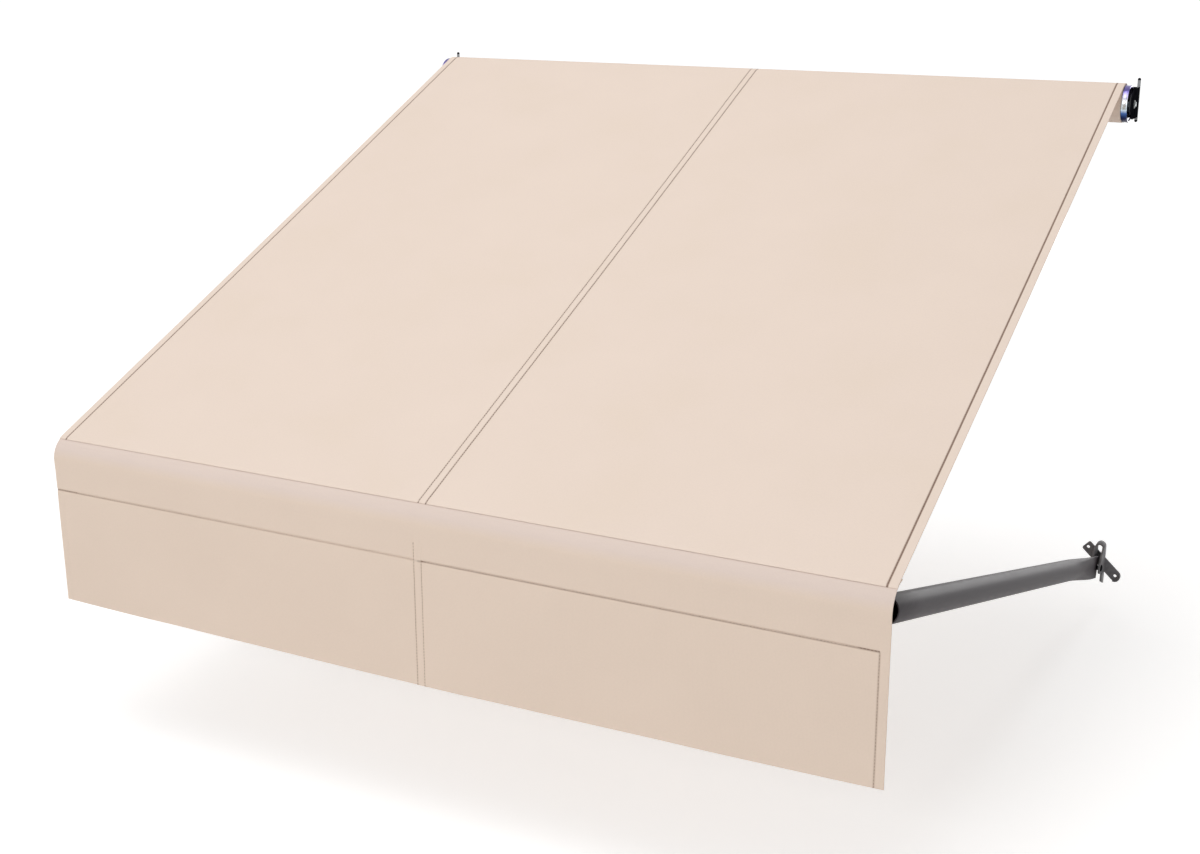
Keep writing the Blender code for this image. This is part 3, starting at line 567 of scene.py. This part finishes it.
def tangent(start_radius, end_radius):
    """The angle round the roller and the bar at which a line lies on both, on top, and where it meets
    them."""
    way = BAR - ROLLER
    lean = math.asin((start_radius - end_radius) / way.length)
    along = way.normalized()
    lift = Vector((0, along.z, -along.y)) * math.cos(lean) + along * math.sin(lean)
    return math.atan2(lift.z, lift.y), ROLLER + lift * start_radius, BAR + lift * end_radius


SLOPE_ANGLE, SLOPE_START, SLOPE_END = tangent(ON_ROLL, ON_BAR)
SLOPE_LENGTH = (SLOPE_END - SLOPE_START).length
CANOPY_END = SLOPE_LENGTH + ON_BAR * NOSE_LAP


def slope_rows():
    """Places along the canopy, each with its point on the cloth's face, the way out of it, and how slack it
    is."""
    rows = []
    count = 10
    for i in range(count):
        out = outward(SLOPE_ANGLE - ROLL_WRAP * (1 - i / count))
        rows.append((-ON_ROLL * ROLL_WRAP * (1 - i / count), ROLLER + out * ON_ROLL, out, 0.0))
    out = outward(SLOPE_ANGLE)
    count = round(SLOPE_LENGTH / SLOPE_ROW)
    for i in range(count + 1):
        share = i / count
        slack = math.sin(math.pi * share)
        rows.append((SLOPE_LENGTH * share, SLOPE_START.lerp(SLOPE_END, share), out, slack))
    count = 6
    for i in range(1, count + 1):
        out = outward(SLOPE_ANGLE + NOSE_LAP * i / count)
        low = (TURN_PITCH - FABRIC - GAP) * step(i / count, 0, 1)
        rows.append((SLOPE_LENGTH + ON_BAR * NOSE_LAP * i / count, BAR + out * (ON_BAR - low), out, 0.0))
    return rows


def drape(x, along, slack):
    """How far the stretched canopy lies below the straight line: a little sag, and long tension waves."""
    across = x / EDGE_X
    sag = SAG * slack * (1 - 0.35 * across * across)
    waves = TENSION_WAVE * noise.noise(Vector((x * 9.0, along * 1.1, 5.0)))
    waves += TENSION_RIPPLE * noise.noise(Vector((x * 26.0, along * 2.6, 9.0)))
    return sag + waves * slack


def canopy_point(x, row, underside=False):
    """A point on the canopy, which is taut round the roll and at the bar and sags a little between them."""
    along, slack = row[0], row[3]
    tight = min(1.0, slack * 4)
    level = lapped(x) * tight - stitch_groove(x, along) - drape(x, along, slack)
    beside = min(EDGE_X - abs(x), CANOPY_END - along)
    return shell_point(x, row, level, FABRIC + doubled(x), beside, underside)


def front_rows():
    """Places down the front cloth: from its tuck under the canopy, round the nose, and down to the hem."""
    rows = []
    count = 26
    first = SLOPE_ANGLE - TUCK
    for i in range(count + 1):
        angle = first + (math.pi - first) * i / count
        out = outward(angle)
        rows.append((POCKET_RADIUS * (angle - first), BAR + out * POCKET_RADIUS, out))
    start = rows[-1][0]
    out = Vector((0, -1, 0))
    near = (0.0003, 0.0007, 0.0012, 0.0018, 0.0026)
    drops = [0.006, 0.014, 0.022, 0.030, 0.036, 0.040]
    drops += [POCKET_DROP - d for d in reversed(near)] + [POCKET_DROP]
    drops += [POCKET_DROP + d for d in near + (0.0040, 0.0060)]
    past_seam, before_hem = 0.006, 0.0165
    count = 20
    plain = VALANCE_DROP - past_seam - before_hem
    drops += [POCKET_DROP + past_seam + plain * i / count for i in range(1, count + 1)]
    near_hem = (0.0152, 0.0148, 0.0144, 0.0140, 0.0136, 0.010, 0.006, 0.003, 0.0015, 0.0008, 0.0003, 0)
    drops += [POCKET_DROP + VALANCE_DROP - d for d in near_hem]
    for drop in drops:
        rows.append((start + drop, BAR + Vector((0, -POCKET_RADIUS, -drop)), out))
    return rows, start


FRONT_ROWS, FRONT_START = front_rows()
FRONT_LENGTH = FRONT_ROWS[-1][0]


def front_point(x, row, underside=False):
    """A point on the front cloth: taut round the bar, pressed in along the pocket's stitching, then
    hanging."""
    along = row[0]
    drop = along - FRONT_START
    up = FRONT_LENGTH - along
    beside = EDGE_X - abs(x)
    hang = step(drop, POCKET_DROP, POCKET_DROP + VALANCE_DROP)
    folded = doubled(x)
    thick = FABRIC + folded * step(drop, 0.0, 0.01)
    at_corner = folded >= 0.0004
    thick += HEM_EXTRA * (1 - step(up, *BOTTOM_FOLD)) * (0.4 if at_corner else 1)
    sewn = step(drop, POCKET_DROP - 0.0005, POCKET_DROP + 0.004)
    level = (lapped(x) - stitch_groove(x, along, sewn) - FRONT_PRESSED) * step(drop, 0.004, 0.02)
    off_hem = step(beside, HEM - 0.001, HEM + 0.001) if x > 0 else 1.0
    clear = off_hem * step(abs(x - SEAM_X), SEAM_HALF - 0.0008, SEAM_HALF + 0.0012)
    line = drop - POCKET_DROP
    ripple = noise.noise(Vector((x * 60, 0.3, 2.0)))
    pucker = POCKET_PUCKER * dip(line, POCKET_PUCKER_WIDTH) * (1 + 0.5 * ripple)
    level -= clear * (POCKET_GROOVE * dip(line, POCKET_GROOVE_WIDTH) + pucker)
    wave = HANG_WAVE * noise.noise(Vector((x * 3.4, 1.7, 0)))
    wave += HANG_RIPPLE * noise.noise(Vector((x * 11.0, along * 4, 4.0)))
    level += (wave - HANG_BACK) * hang
    bow = Vector((0, 0, -BOW * hang * (1 - (x / EDGE_X) ** 2)))
    return shell_point(x, row, level, thick, min(beside, up), underside) + bow


def make_pocket():
    """The pocket's back layer: up from the stitching behind the bar, over it, and down inside the nose."""
    outer = POCKET_INSIDE + POCKET_FABRIC
    seam_y = -POCKET_RADIUS + FABRIC + 0.0009
    lean = math.atan2(-POCKET_DROP, seam_y) + math.acos(outer / math.hypot(seam_y, POCKET_DROP))
    end = math.radians(160)
    down = Vector((0, seam_y, -POCKET_DROP))
    leave = Vector((0, outer * math.cos(lean), outer * math.sin(lean)))
    out = outward(lean)
    rows = [((down - leave).length * i / 8, BAR + down.lerp(leave, i / 8), out) for i in range(9)]
    along = rows[-1][0]
    count = 60
    for i in range(1, count + 1):
        angle = lean + (end - lean) * i / count
        out = outward(angle)
        rows.append((along + outer * (angle - lean), BAR + out * outer, out))

    def point(x, row, underside):
        beside = min(POCKET_END - abs(x), row[0] + 2 * SLIVER)
        pull = 0.0003 * dip(abs(x) - POCKET_END + HEM, 0.002) * step(row[0], 0, 0.01)
        return shell_point(x, row, 0.0 if underside else -pull, POCKET_FABRIC, beside, underside)

    made = cloth_shell("bar_pocket_cloth", rows, columns_across(POCKET_END), point, CANVAS, start=0.3)
    return made, rows[-1][0]


def make_roll():
    """The turns that stay on the roller, wound a little unevenly, so that their edges show at the roll's
    ends."""
    steps = ROLL_TURNS * TURN_STEPS
    length, rows = 0.0, []
    for i in range(steps + 1):
        share = i / steps
        radius = ROLLER_RADIUS + GAP + CLOTH + (ROLL_TURNS - 1) * TURN_PITCH * share
        out = outward(SLOPE_ANGLE - math.tau * ROLL_TURNS * (1 - share))
        shift = 0.0009 * noise.noise(Vector((share * 5.3, 0.4, 0.7))) - 0.0008 * (1 - share)
        rows.append((length, ROLLER + out * radius, out, shift))
        length += radius * math.tau * ROLL_TURNS / steps
    inset = (0, 0.0003, 0.0008, 0.002, 0.006, 0.0110, 0.0120, 0.0130, 0.0137, 0.0141, 0.03)
    places = {EDGE_X - d for d in inset} | {d - EDGE_X for d in inset}
    places |= {0.19 * i for i in range(-3, 4)}

    def point(x, row, underside):
        beside = EDGE_X - abs(x)
        thick = CLOTH - 0.0004 * step(beside, HEM_EDGE - 0.0002, HEM_EDGE + 0.0003)
        pull = 0.0002 * dip(beside - HEM, 0.0015)
        shift = row[3] * step(beside, 0.03, 0.0) * (1 if x > 0 else -1)
        return shell_point(x + shift, row, 0.0 if underside else -pull, thick, beside, underside)

    return cloth_shell("rolled_cloth", rows, sorted(places), point, CANVAS, start=-1.2), length


# ---------------------------------------------------------------- stitches


def stitch_tree():
    """Geometry nodes that lay stitches along every line of a mesh: named inputs give their pitch and
    size."""
    tree = bpy.data.node_groups.new("stitches", "GeometryNodeTree")
    face = tree.interface
    face.new_socket("Lines", in_out="INPUT", socket_type="NodeSocketGeometry")
    for name in ("Pitch", "Length", "Thread radius"):
        face.new_socket(name, in_out="INPUT", socket_type="NodeSocketFloat")
    face.new_socket("Thread", in_out="INPUT", socket_type="NodeSocketMaterial")
    face.new_socket("Stitches", in_out="OUTPUT", socket_type="NodeSocketGeometry")
    given = add_node(tree, "NodeGroupInput").outputs
    radius = given["Thread radius"]
    curves = add_node(tree, "GeometryNodeMeshToCurve", {"Mesh": given["Lines"]})
    spacing = {"Curve": curves, "Length": given["Pitch"]}
    spaced = add_node(tree, "GeometryNodeResampleCurve", spacing, mode="LENGTH")
    bead = add_node(tree, "GeometryNodeMeshUVSphere", socket_Segments=8, socket_Rings=6, socket_Radius=1.0)
    half = add_node(tree, "ShaderNodeMath", {0: given["Length"]}, operation="MULTIPLY", socket_1=0.5)
    size = add_node(tree, "ShaderNodeCombineXYZ", {"X": radius, "Y": radius, "Z": half})
    stitch = add_node(tree, "GeometryNodeTransform", {"Geometry": bead, "Scale": size})
    way = add_node(tree, "GeometryNodeInputTangent")
    turn = add_node(tree, "FunctionNodeAlignRotationToVector", {"Vector": way}, axis="Z")
    vary = add_node(tree, "FunctionNodeRandomValue", data_type="FLOAT", socket_Seed=11)
    set_up(vary, socket_2=0.9, socket_3=1.06)
    laid = {"Points": spaced, "Instance": stitch, "Rotation": turn, "Scale": vary}
    placed = add_node(tree, "GeometryNodeInstanceOnPoints", laid)
    real = add_node(tree, "GeometryNodeRealizeInstances", {"Geometry": placed})
    done = add_node(tree, "GeometryNodeSetMaterial", {"Geometry": real, "Material": given["Thread"]})
    add_node(tree, "NodeGroupOutput", {"Stitches": done})
    return tree


STITCHES = stitch_tree()


def sew(name, lines, thread):
    """One plain mesh of stitches along lines of points."""
    bm = bmesh.new()
    for line in lines:
        verts = [bm.verts.new(p) for p in line]
        for pair in zip(verts, verts[1:]):
            bm.edges.new(pair)
    guide = make_piece(f"{name}_lines", bm, thread)
    modifier = guide.modifiers.new("stitches", "NODES")
    modifier.node_group = STITCHES
    values = {"Pitch": STITCH_PITCH, "Length": STITCH_LENGTH, "Thread radius": THREAD_RADIUS}
    values["Thread"] = thread
    for item in STITCHES.interface.items_tree:
        if item.name in values and item.in_out == "INPUT":
            modifier[item.identifier] = values[item.name]
    guide.update_tag()
    bpy.context.view_layer.update()
    graph = bpy.context.evaluated_depsgraph_get()
    mesh = bpy.data.meshes.new_from_object(guide.evaluated_get(graph))
    bpy.data.objects.remove(guide)
    mesh.name = name
    mesh.shade_smooth()
    return add_object(name, mesh)


def seam_line(point, places, rows):
    """The line of a seam, just above the cloth, through the places across it or down its rows."""
    return [point(x, row) + row[2] * THREAD_LIFT for row in rows for x in places]


def canopy_seams():
    """The canopy's lines: down both hems and down the middle seam."""
    rows = slope_rows()[6:-1]
    across = (HEM - EDGE_X, SEAM_X - SEAM_HALF, SEAM_X + SEAM_HALF, EDGE_X - HEM)
    return [seam_line(canopy_point, [x], rows) for x in across]


def front_seams():
    """The front cloth's lines: the fresh one across at the pocket's right half, and then the faded ones,
    across at its left half, down the right hem and down the middle seam."""
    pocket = min(FRONT_ROWS, key=lambda row: abs(row[0] - FRONT_START - POCKET_DROP))
    beside_seam, beside_hem, beside_edge = SEAM_HALF + 0.001, 0.0008, 0.0012
    spans = [(beside_edge - EDGE_X, SEAM_X - beside_seam), (SEAM_X + beside_seam, EDGE_X - HEM - beside_hem)]
    lines = []
    for start, end in spans:
        count = round((end - start) / 0.004)
        places = [start + (end - start) * i / count for i in range(count + 1)]
        lines.append(seam_line(front_point, places, [pocket]))
    under_nose, end = 0.020, POCKET_DROP + VALANCE_DROP - 0.001
    seam = (SEAM_X - SEAM_HALF, SEAM_X + SEAM_HALF)
    starts = [(EDGE_X - HEM, POCKET_DROP), (seam[0], under_nose), (seam[1], POCKET_DROP)]
    for x, start in starts:
        rows = [row for row in FRONT_ROWS if start <= row[0] - FRONT_START < end]
        lines.append(seam_line(front_point, [x], rows))
    left, right, *down = lines
    return [right], [left, *down]


# ---------------------------------------------------------------- steel and plastic


def for_side(bm, side):
    """Every paired piece is drawn for the right side, +x, and mirrored for the left one."""
    if side < 0:
        bmesh.ops.transform(bm, matrix=Matrix.Scale(-1, 4, (1, 0, 0)), verts=bm.verts)
        bmesh.ops.reverse_faces(bm, faces=bm.faces)
    return bm


def rounded(profile, radius):
    """The profile's marked corners, given as (x, r, True), cut to arcs of a radius."""
    steps = 4
    points = []
    for i, (x, r, soft) in enumerate(profile):
        here = Vector((x, r))
        if not soft:
            points.append(here)
            continue
        before = Vector(profile[i - 1][:2])
        after = Vector(profile[(i + 1) % len(profile)][:2])
        cut = min(radius, (before - here).length * 0.45, (after - here).length * 0.45)
        a = here + (before - here).normalized() * cut
        b = here + (after - here).normalized() * cut
        for k in range(steps + 1):
            t = k / steps
            points.append(a * (1 - t) ** 2 + here * 2 * t * (1 - t) + b * t * t)
    return points


def join_rings(bm, rings, closed=False):
    """Walls from ring to ring, or to a ring of one point, and back to the first ring where the shape is
    closed."""
    pairs = list(zip(rings, rings[1:]))
    if closed:
        pairs.append((rings[-1], rings[0]))
    for a, b in pairs:
        sides = max(len(a), len(b))
        for i in range(sides):
            j = (i + 1) % sides
            corners = [a[i % len(a)], a[j % len(a)], b[j % len(b)], b[i % len(b)]]
            unique = list(dict.fromkeys(corners))
            if len(unique) > 2:
                bm.faces.new(unique)


def turned(name, profile, centre, side, material, closed=False, sides=96):
    """A piece turned about the x axis through centre, from a profile of (x, radius) points."""
    bm = bmesh.new()
    rings = []
    for x, radius in profile:
        if radius < 1e-7:
            rings.append([bm.verts.new((x, centre.y, centre.z))])
            continue
        ring = []
        for i in range(sides):
            angle = math.tau * i / sides
            y, z = centre.y + radius * math.cos(angle), centre.z + radius * math.sin(angle)
            ring.append(bm.verts.new((x, y, z)))
        rings.append(ring)
    join_rings(bm, rings, closed)
    bmesh.ops.recalc_face_normals(bm, faces=bm.faces)
    return make_piece(name, for_side(bm, side), material, 38)


def bevelled(name, node, material, width):
    """A pressed or cut piece whose outline is right in the solids, with its edges rolled off."""
    bm = bmesh.new()
    bm.from_mesh(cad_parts[node].data)
    bmesh.ops.remove_doubles(bm, verts=bm.verts, dist=1e-6)
    bmesh.ops.dissolve_limit(bm, angle_limit=math.radians(1), verts=bm.verts, edges=bm.edges)
    for layer in list(bm.loops.layers.uv.values()):
        bm.loops.layers.uv.remove(layer)
    made = make_piece(name, bm, material, 30)
    modifier = made.modifiers.new("rolled_edges", "BEVEL")
    modifier.width = width
    modifier.segments = 2
    modifier.limit_method = "ANGLE"
    modifier.angle_limit = math.radians(34)
    modifier.harden_normals = False
    graph = bpy.context.evaluated_depsgraph_get()
    mesh = bpy.data.meshes.new_from_object(made.evaluated_get(graph))
    made.modifiers.clear()
    made.data = mesh
    mesh.shade_smooth()
    mesh.set_sharp_from_angle(angle=math.radians(42))
    return made


def arm_shape(along, inset):
    """Half width, half height, middle and flattened share of the arm at a distance from its pivot."""
    round_share = step(along, FLAT_LENGTH, FLAT_LENGTH + FLARE_LENGTH)
    half_width = FLAT_HALF_THICK + (ARM_RADIUS - FLAT_HALF_THICK) * round_share
    half_height = FLAT_HALF_HEIGHT + (ARM_RADIUS - FLAT_HALF_HEIGHT) * round_share
    front = (along - FLAT_LENGTH - FLARE_LENGTH) / (ARM_FRONT - FLAT_LENGTH - FLARE_LENGTH)
    rear_x = FLAT_X + FLAT_HALF_THICK - ARM_RADIUS
    middle = FLAT_X + FLAT_HALF_THICK - half_width + (ARM_FRONT_X - rear_x) * max(front, 0)
    return half_width - inset, max(half_height - inset, half_width - inset), middle, 1 - round_share


def arm_ring(bm, along, inset):
    """A ring of the tube. Pressed flat, it keeps a small bead along its folded top and bottom."""
    half_width, half_height, middle, flat = arm_shape(along, inset)
    out = Vector((0, -math.cos(ARM_RISE), math.sin(ARM_RISE)))
    up = Vector((0, math.sin(ARM_RISE), math.cos(ARM_RISE)))
    sides = 72
    bead = 0.28 * flat**3 if half_width < 2 * FLAT_HALF_THICK else 0
    ring = []
    for i in range(sides):
        angle = (i + 0.5) * math.tau / sides
        rise = math.sin(angle)
        x = half_width * (1 + bead * math.exp(-(((1 - abs(rise)) / 0.25) ** 2))) * math.cos(angle)
        fold = math.copysign(half_height - half_width, rise) * step(abs(rise), 0.0, 0.35 + 0.65 * (1 - flat))
        height = half_width * rise + fold
        ring.append(bm.verts.new(PIVOT + out * along + up * height + Vector((middle + x, 0, 0))))
    return ring


def make_arm(name, side):
    """The arm: a steel tube, open and deburred at the front, whose wall end is pressed flat round the
    pivot."""
    bm = bmesh.new()
    end = ARM_FRONT
    flare = [FLAT_LENGTH + FLARE_LENGTH * i / 28 for i in range(29)]
    plain = [flare[-1] + (end - 0.0008 - flare[-1]) * i / 10 for i in range(1, 11)]
    edge = ((0.0, 0.0012), (0.00015, 0.0004), (0.0006, 0.0))
    tail = [(back - FLAT_TAIL, inset * 0.8) for back, inset in edge]
    outside = [(s, 0) for s in [-0.004, 0.0, 0.008, 0.016] + flare + plain]
    lip = ((0.0003, 0.00012), (0.00008, 0.0004), (0.0, 0.0008), (0.00008, 0.0012), (0.0004, ARM_WALL))
    mouth = [(end - front, inset) for front, inset in lip]
    bore = [(s, ARM_WALL) for s in [end - 0.01, end - 0.2, end - 0.5]]
    bore += [(s, ARM_WALL) for s in reversed(flare) if s > BORE_START]
    rings = [arm_ring(bm, along, inset) for along, inset in tail + outside + mouth + bore]
    join_rings(bm, rings)
    bm.faces.new(rings[0])
    bm.faces.new(list(reversed(rings[-1])))
    bmesh.ops.recalc_face_normals(bm, faces=bm.faces)
    return make_piece(name, for_side(bm, side), PAINT, 50)


def make_cap(name, side):
    """Drawn end cap, bright zinc plated, with a rolled lip at both edges of its rim. The spring's spindle
    goes through the right one, and the left one has a gudgeon."""
    rim, spigot = CAP_START + CAP_RIM, ROLLER_RADIUS - ROLLER_WALL - GAP
    inner = EDGE_X - CAP_DEPTH
    hub = 0.0042 if side > 0 else 0.0075
    dish = rim - 0.0012
    waist = CAP_RADIUS - 0.0004
    profile = [(dish, hub, False), (dish, CAP_RADIUS - 0.0042, True), (rim, CAP_RADIUS - 0.003, True)]
    profile += [(rim, CAP_RADIUS, True), (rim - 0.0018, CAP_RADIUS, True), (rim - 0.0022, waist, True)]
    profile += [(CAP_START + 0.0022, waist, True), (CAP_START + 0.0018, CAP_RADIUS, True)]
    profile += [(CAP_START, CAP_RADIUS, True), (CAP_START, spigot, True), (inner, spigot, True)]
    if side > 0:
        points = rounded(profile + [(inner, hub, False)], 0.0008)
        return turned(name, points, ROLLER, side, PAINTED_BRIGHT_ZINC, closed=True)
    tip = CHEEK_START + CHEEK + 0.003
    gudgeon = [(tip, 0, False), (tip, GUDGEON_RADIUS, True), (rim, GUDGEON_RADIUS, True), (rim, hub, True)]
    points = rounded(gudgeon + profile[1:] + [(inner, 0, False)], 0.0008)
    return turned(name, points, ROLLER, side, PAINTED_BRIGHT_ZINC)


def make_bush(name, side):
    """Moulded bush, with a stepped flange against the cap."""
    end = CHEEK_START + CHEEK + 0.001
    flange, ledge = CHEEK_START - GAP, BUSH_START + 0.0004
    profile = [(BUSH_START, BUSH_BORE, False), (BUSH_START, 0.0095, True), (ledge, 0.0100, True)]
    profile += [(ledge, BUSH_RADIUS, True), (flange, BUSH_RADIUS, True), (flange, BUSH_NECK, False)]
    profile += [(end, BUSH_NECK, True), (end, BUSH_BORE, False)]
    return turned(name, rounded(profile, 0.0007), ROLLER, side, NYLON, closed=True)


def make_plug(name, side):
    """Moulded plug in the bar's end, seen between the bar's pocket and the arm."""
    face = ARM_FRONT_X - ARM_RADIUS - RUNNING_GAP
    end = face - PLUG_RIM
    dish = face - 0.0008
    profile = [(end - PLUG_DEPTH, PIN_BORE, False), (end - PLUG_DEPTH, PLUG_RADIUS, True)]
    profile += [(end + GAP, PLUG_RADIUS, False), (end + GAP, BAR_RADIUS, True), (face, BAR_RADIUS, True)]
    profile += [(face, 0.012, True), (dish, 0.011, True), (dish, 0.0075, True), (face, 0.007, True)]
    profile.append((face, PIN_BORE, False))
    return turned(name, rounded(profile, 0.0007), BAR, side, NYLON, closed=True)


def make_pivot_pin(name, side):
    """Rivet through the yoke, with a domed head at each side."""
    rim = 0.0004
    head = [(PIVOT_SEAT, PIVOT_RADIUS), (PIVOT_SEAT, PIVOT_HEAD_RADIUS)]
    for i in range(1, 9):
        angle = math.pi / 2 * i / 8
        dome = (PIVOT_HEAD - rim) * math.sin(angle)
        head.append((PIVOT_SEAT + rim + dome, PIVOT_HEAD_RADIUS * math.cos(angle)))
    points = [(YOKE_X - x, r) for x, r in reversed(head)] + [(YOKE_X + x, r) for x, r in head]
    return turned(name, points, PIVOT, side, BLACK_STEEL, sides=48)


# ---------------------------------------------------------------- the awning


# Strengths of the painted shade along the canopy's and the front's stitched lines
SEAM_LINES = [(SEAM_X - SEAM_HALF, 0.3), (SEAM_X + SEAM_HALF, 0.45), (HEM - EDGE_X, 0.6), (EDGE_X - HEM, 0.9)]
FADED_LINES = [(SEAM_X - SEAM_HALF, 0.12), (SEAM_X + SEAM_HALF, 0.05), (EDGE_X - HEM, 0.3)]
CANOPY_CANVAS = woven_canvas("acrylic_canvas_of_canopy", CANVAS_SHADES, SEAM_LINES)
FRONT_CANVAS = woven_canvas(
    "acrylic_canvas_of_front_painted_darker",
    FRONT_SHADES_PAINTED_DARKER,
    FADED_LINES,
    pocket=(FRONT_START + POCKET_DROP, 0.5),
    bend=POCKET_RADIUS * (TUCK + NOSE_LAP) + BEND_MIDDLE,
)

canopy = cloth_shell("canopy_cloth", slope_rows(), columns_across(EDGE_X), canopy_point, CANOPY_CANVAS)
canopy_stitches = sew("canopy_stitches", canopy_seams(), THREAD)
for piece in (canopy, canopy_stitches):
    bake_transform(piece)
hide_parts("canopy_panel_left", "canopy_panel_right")

front = cloth_shell("front_cloth", FRONT_ROWS, columns_across(EDGE_X), front_point, FRONT_CANVAS)
fresh_seams, faded_seams = front_seams()
front_stitches = sew("front_stitches", fresh_seams, THREAD)
faded_stitches = sew("front_seam_stitches", faded_seams, PALE_THREAD)
finish_piece(front, "bar", "awning_canvas", "valance_panel_left", "valance_panel_right")
finish_piece(front_stitches, "bar", "awning_canvas")
finish_piece(faded_stitches, "bar", "awning_canvas")
pocket, pocket_length = make_pocket()
finish_piece(pocket, "bar", "awning_canvas", "bar_pocket")
roll, roll_length = make_roll()
finish_piece(roll, "roller", "awning_canvas", "fabric_roll")

for word, side in (("left", -1), ("right", 1)):
    finish_piece(make_arm(f"arm_tube_{word}", side), "arms", "dark_grey_paint", f"arm_{word}")
    # The yoke wears the lighter copy of the arms' coat, which is painted light
    bracket = bevelled(f"arm_yoke_{word}", f"arm_bracket_{word}", BRACKET_PAINT_LIGHTENED, 0.0006)
    finish_piece(bracket, "fixed_frame", "dark_grey_paint", f"arm_bracket_{word}")
    plate = bevelled(f"roller_end_bracket_{word}", f"roller_bracket_{word}", BLACK_STEEL, 0.0005)
    finish_piece(plate, "fixed_frame", "black_plated_steel", f"roller_bracket_{word}")
    cap = make_cap(f"roller_end_cap_{word}", side)
    finish_piece(cap, "roller", "bright_plated_steel", f"roller_cap_{word}")
    bush = make_bush(f"roller_end_bush_{word}", side)
    finish_piece(bush, "fixed_frame", "black_nylon", f"roller_bush_{word}")
    plug = make_plug(f"bar_end_plug_{word}", side)
    finish_piece(plug, "bar", "black_nylon", f"bar_plug_{word}")
    pin = make_pivot_pin(f"pivot_rivet_{word}", side)
    finish_piece(pin, "fixed_frame", "black_plated_steel", f"arm_pivot_pin_{word}")

FINISHES = {
    "roller_tube": GALVANISED,
    "front_bar": GALVANISED,
    "spring_spindle": GALVANISED,
    "torsion_spring": SPRING_STEEL,
    "spring_anchor": NYLON,
    "bar_pin_left": GALVANISED,
    "bar_pin_right": GALVANISED,
}
for node_name, material in FINISHES.items():
    for material_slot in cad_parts[node_name].material_slots:
        material_slot.material = material


# ---------------------------------------------------------------- floor, light and camera


FLOOR_Z = -0.86
FLOOR_HALF = 60
FLOOR_NEAR, FLOOR_FAR = 1.5, 6.0
FLOOR_LIFT_NEAR = 0.38
FLOOR_LIFT_FAR = 0.55
WORLD_LIGHT = 0.56


def seen_share(tree):
    """1 for rays from the camera, mirrors and glass, which see the white studio, and 0 for those that
    light."""
    light = add_node(tree, "ShaderNodeLightPath").outputs
    seen = light["Is Camera Ray"]
    for kind in ("Is Glossy Ray", "Is Transmission Ray"):
        seen = add_node(tree, "ShaderNodeMath", {0: seen, 1: light[kind]}, operation="MAXIMUM")
    return seen


def make_floor():
    """Plain pale studio floor, which reaches white where the awning throws no shadow on it."""
    bm = bmesh.new()
    place = Matrix.Translation((0, 0, FLOOR_Z))
    bmesh.ops.create_grid(bm, x_segments=1, y_segments=1, size=FLOOR_HALF, matrix=place)
    material, tree, shader = new_material("studio_floor")
    set_up(shader, socket_Base_Color=linear("F2F2F2"), socket_Roughness=0.9, socket_Specular_IOR_Level=0.1)
    place = add_node(tree, "ShaderNodeTexCoord").outputs["Object"]
    away = add_node(tree, "ShaderNodeVectorMath", {0: place}, operation="LENGTH")
    level = add_node(tree, "ShaderNodeMapRange", {"Value": away}, socket_1=FLOOR_NEAR, socket_2=FLOOR_FAR)
    set_up(level, socket_3=FLOOR_LIFT_NEAR, socket_4=FLOOR_LIFT_FAR)
    lift = all_of(tree, [seen_share(tree), level])
    glow = add_node(tree, "ShaderNodeEmission", {"Strength": lift}, socket_Color=(1, 1, 1, 1))
    both = add_node(tree, "ShaderNodeAddShader", {0: shader, 1: glow})
    link(tree, tree.nodes["Material Output"], {"Surface": both})
    floor = make_piece("studio_floor", bm, material)


def make_world():
    """White to the camera, and a plain even light for the object."""
    world = bpy.data.worlds.new("studio")
    world.use_nodes = True
    tree = world.node_tree
    seen = seen_share(tree)
    strength = add_node(tree, "ShaderNodeMapRange", {"Value": seen}, socket_3=WORLD_LIGHT, socket_4=1.0)
    link(tree, tree.nodes["Background"], {"Strength": strength})
    set_up(tree.nodes["Background"], socket_Color=(1, 1, 1, 1))
    bpy.context.scene.world = world


def make_lamp(name, place, target, size, power):
    """A rectangular softbox that faces its target."""
    data = bpy.data.lights.new(name, "AREA")
    data.shape = "RECTANGLE"
    data.size, data.size_y = size
    data.energy = power
    lamp = add_object(name, data)
    lamp.location = place
    lamp.rotation_euler = (Vector(target) - Vector(place)).to_track_quat("-Z", "Y").to_euler()


make_floor()
make_world()
make_lamp("overhead_softbox", (-0.4, -1.2, 3.2), (0, -0.6, -0.3), (3.2, 2.6), 53)
make_lamp("front_softbox", (-0.3, -4.2, 0.9), (0.1, -0.5, -0.3), (1.3, 0.9), 23)
make_lamp("back_softbox", (1.0, 4.2, -0.35), (0.6, -0.5, -0.5), (2.4, 0.5), 20)

# The photograph is 1200 pixels wide, and in these pixels its lens is 1684 long
camera_data = bpy.data.cameras.new("camera")
camera_data.sensor_width = 36
camera_data.lens = 36 * 1684 / 1200
camera = add_object("camera", camera_data)
camera.location = (1.111, -2.747, 0.256)
camera.rotation_euler = (math.radians(73.58), 0, math.radians(27.56))
bpy.context.scene.camera = camera

scene = bpy.context.scene
scene.view_settings.view_transform = "Standard"
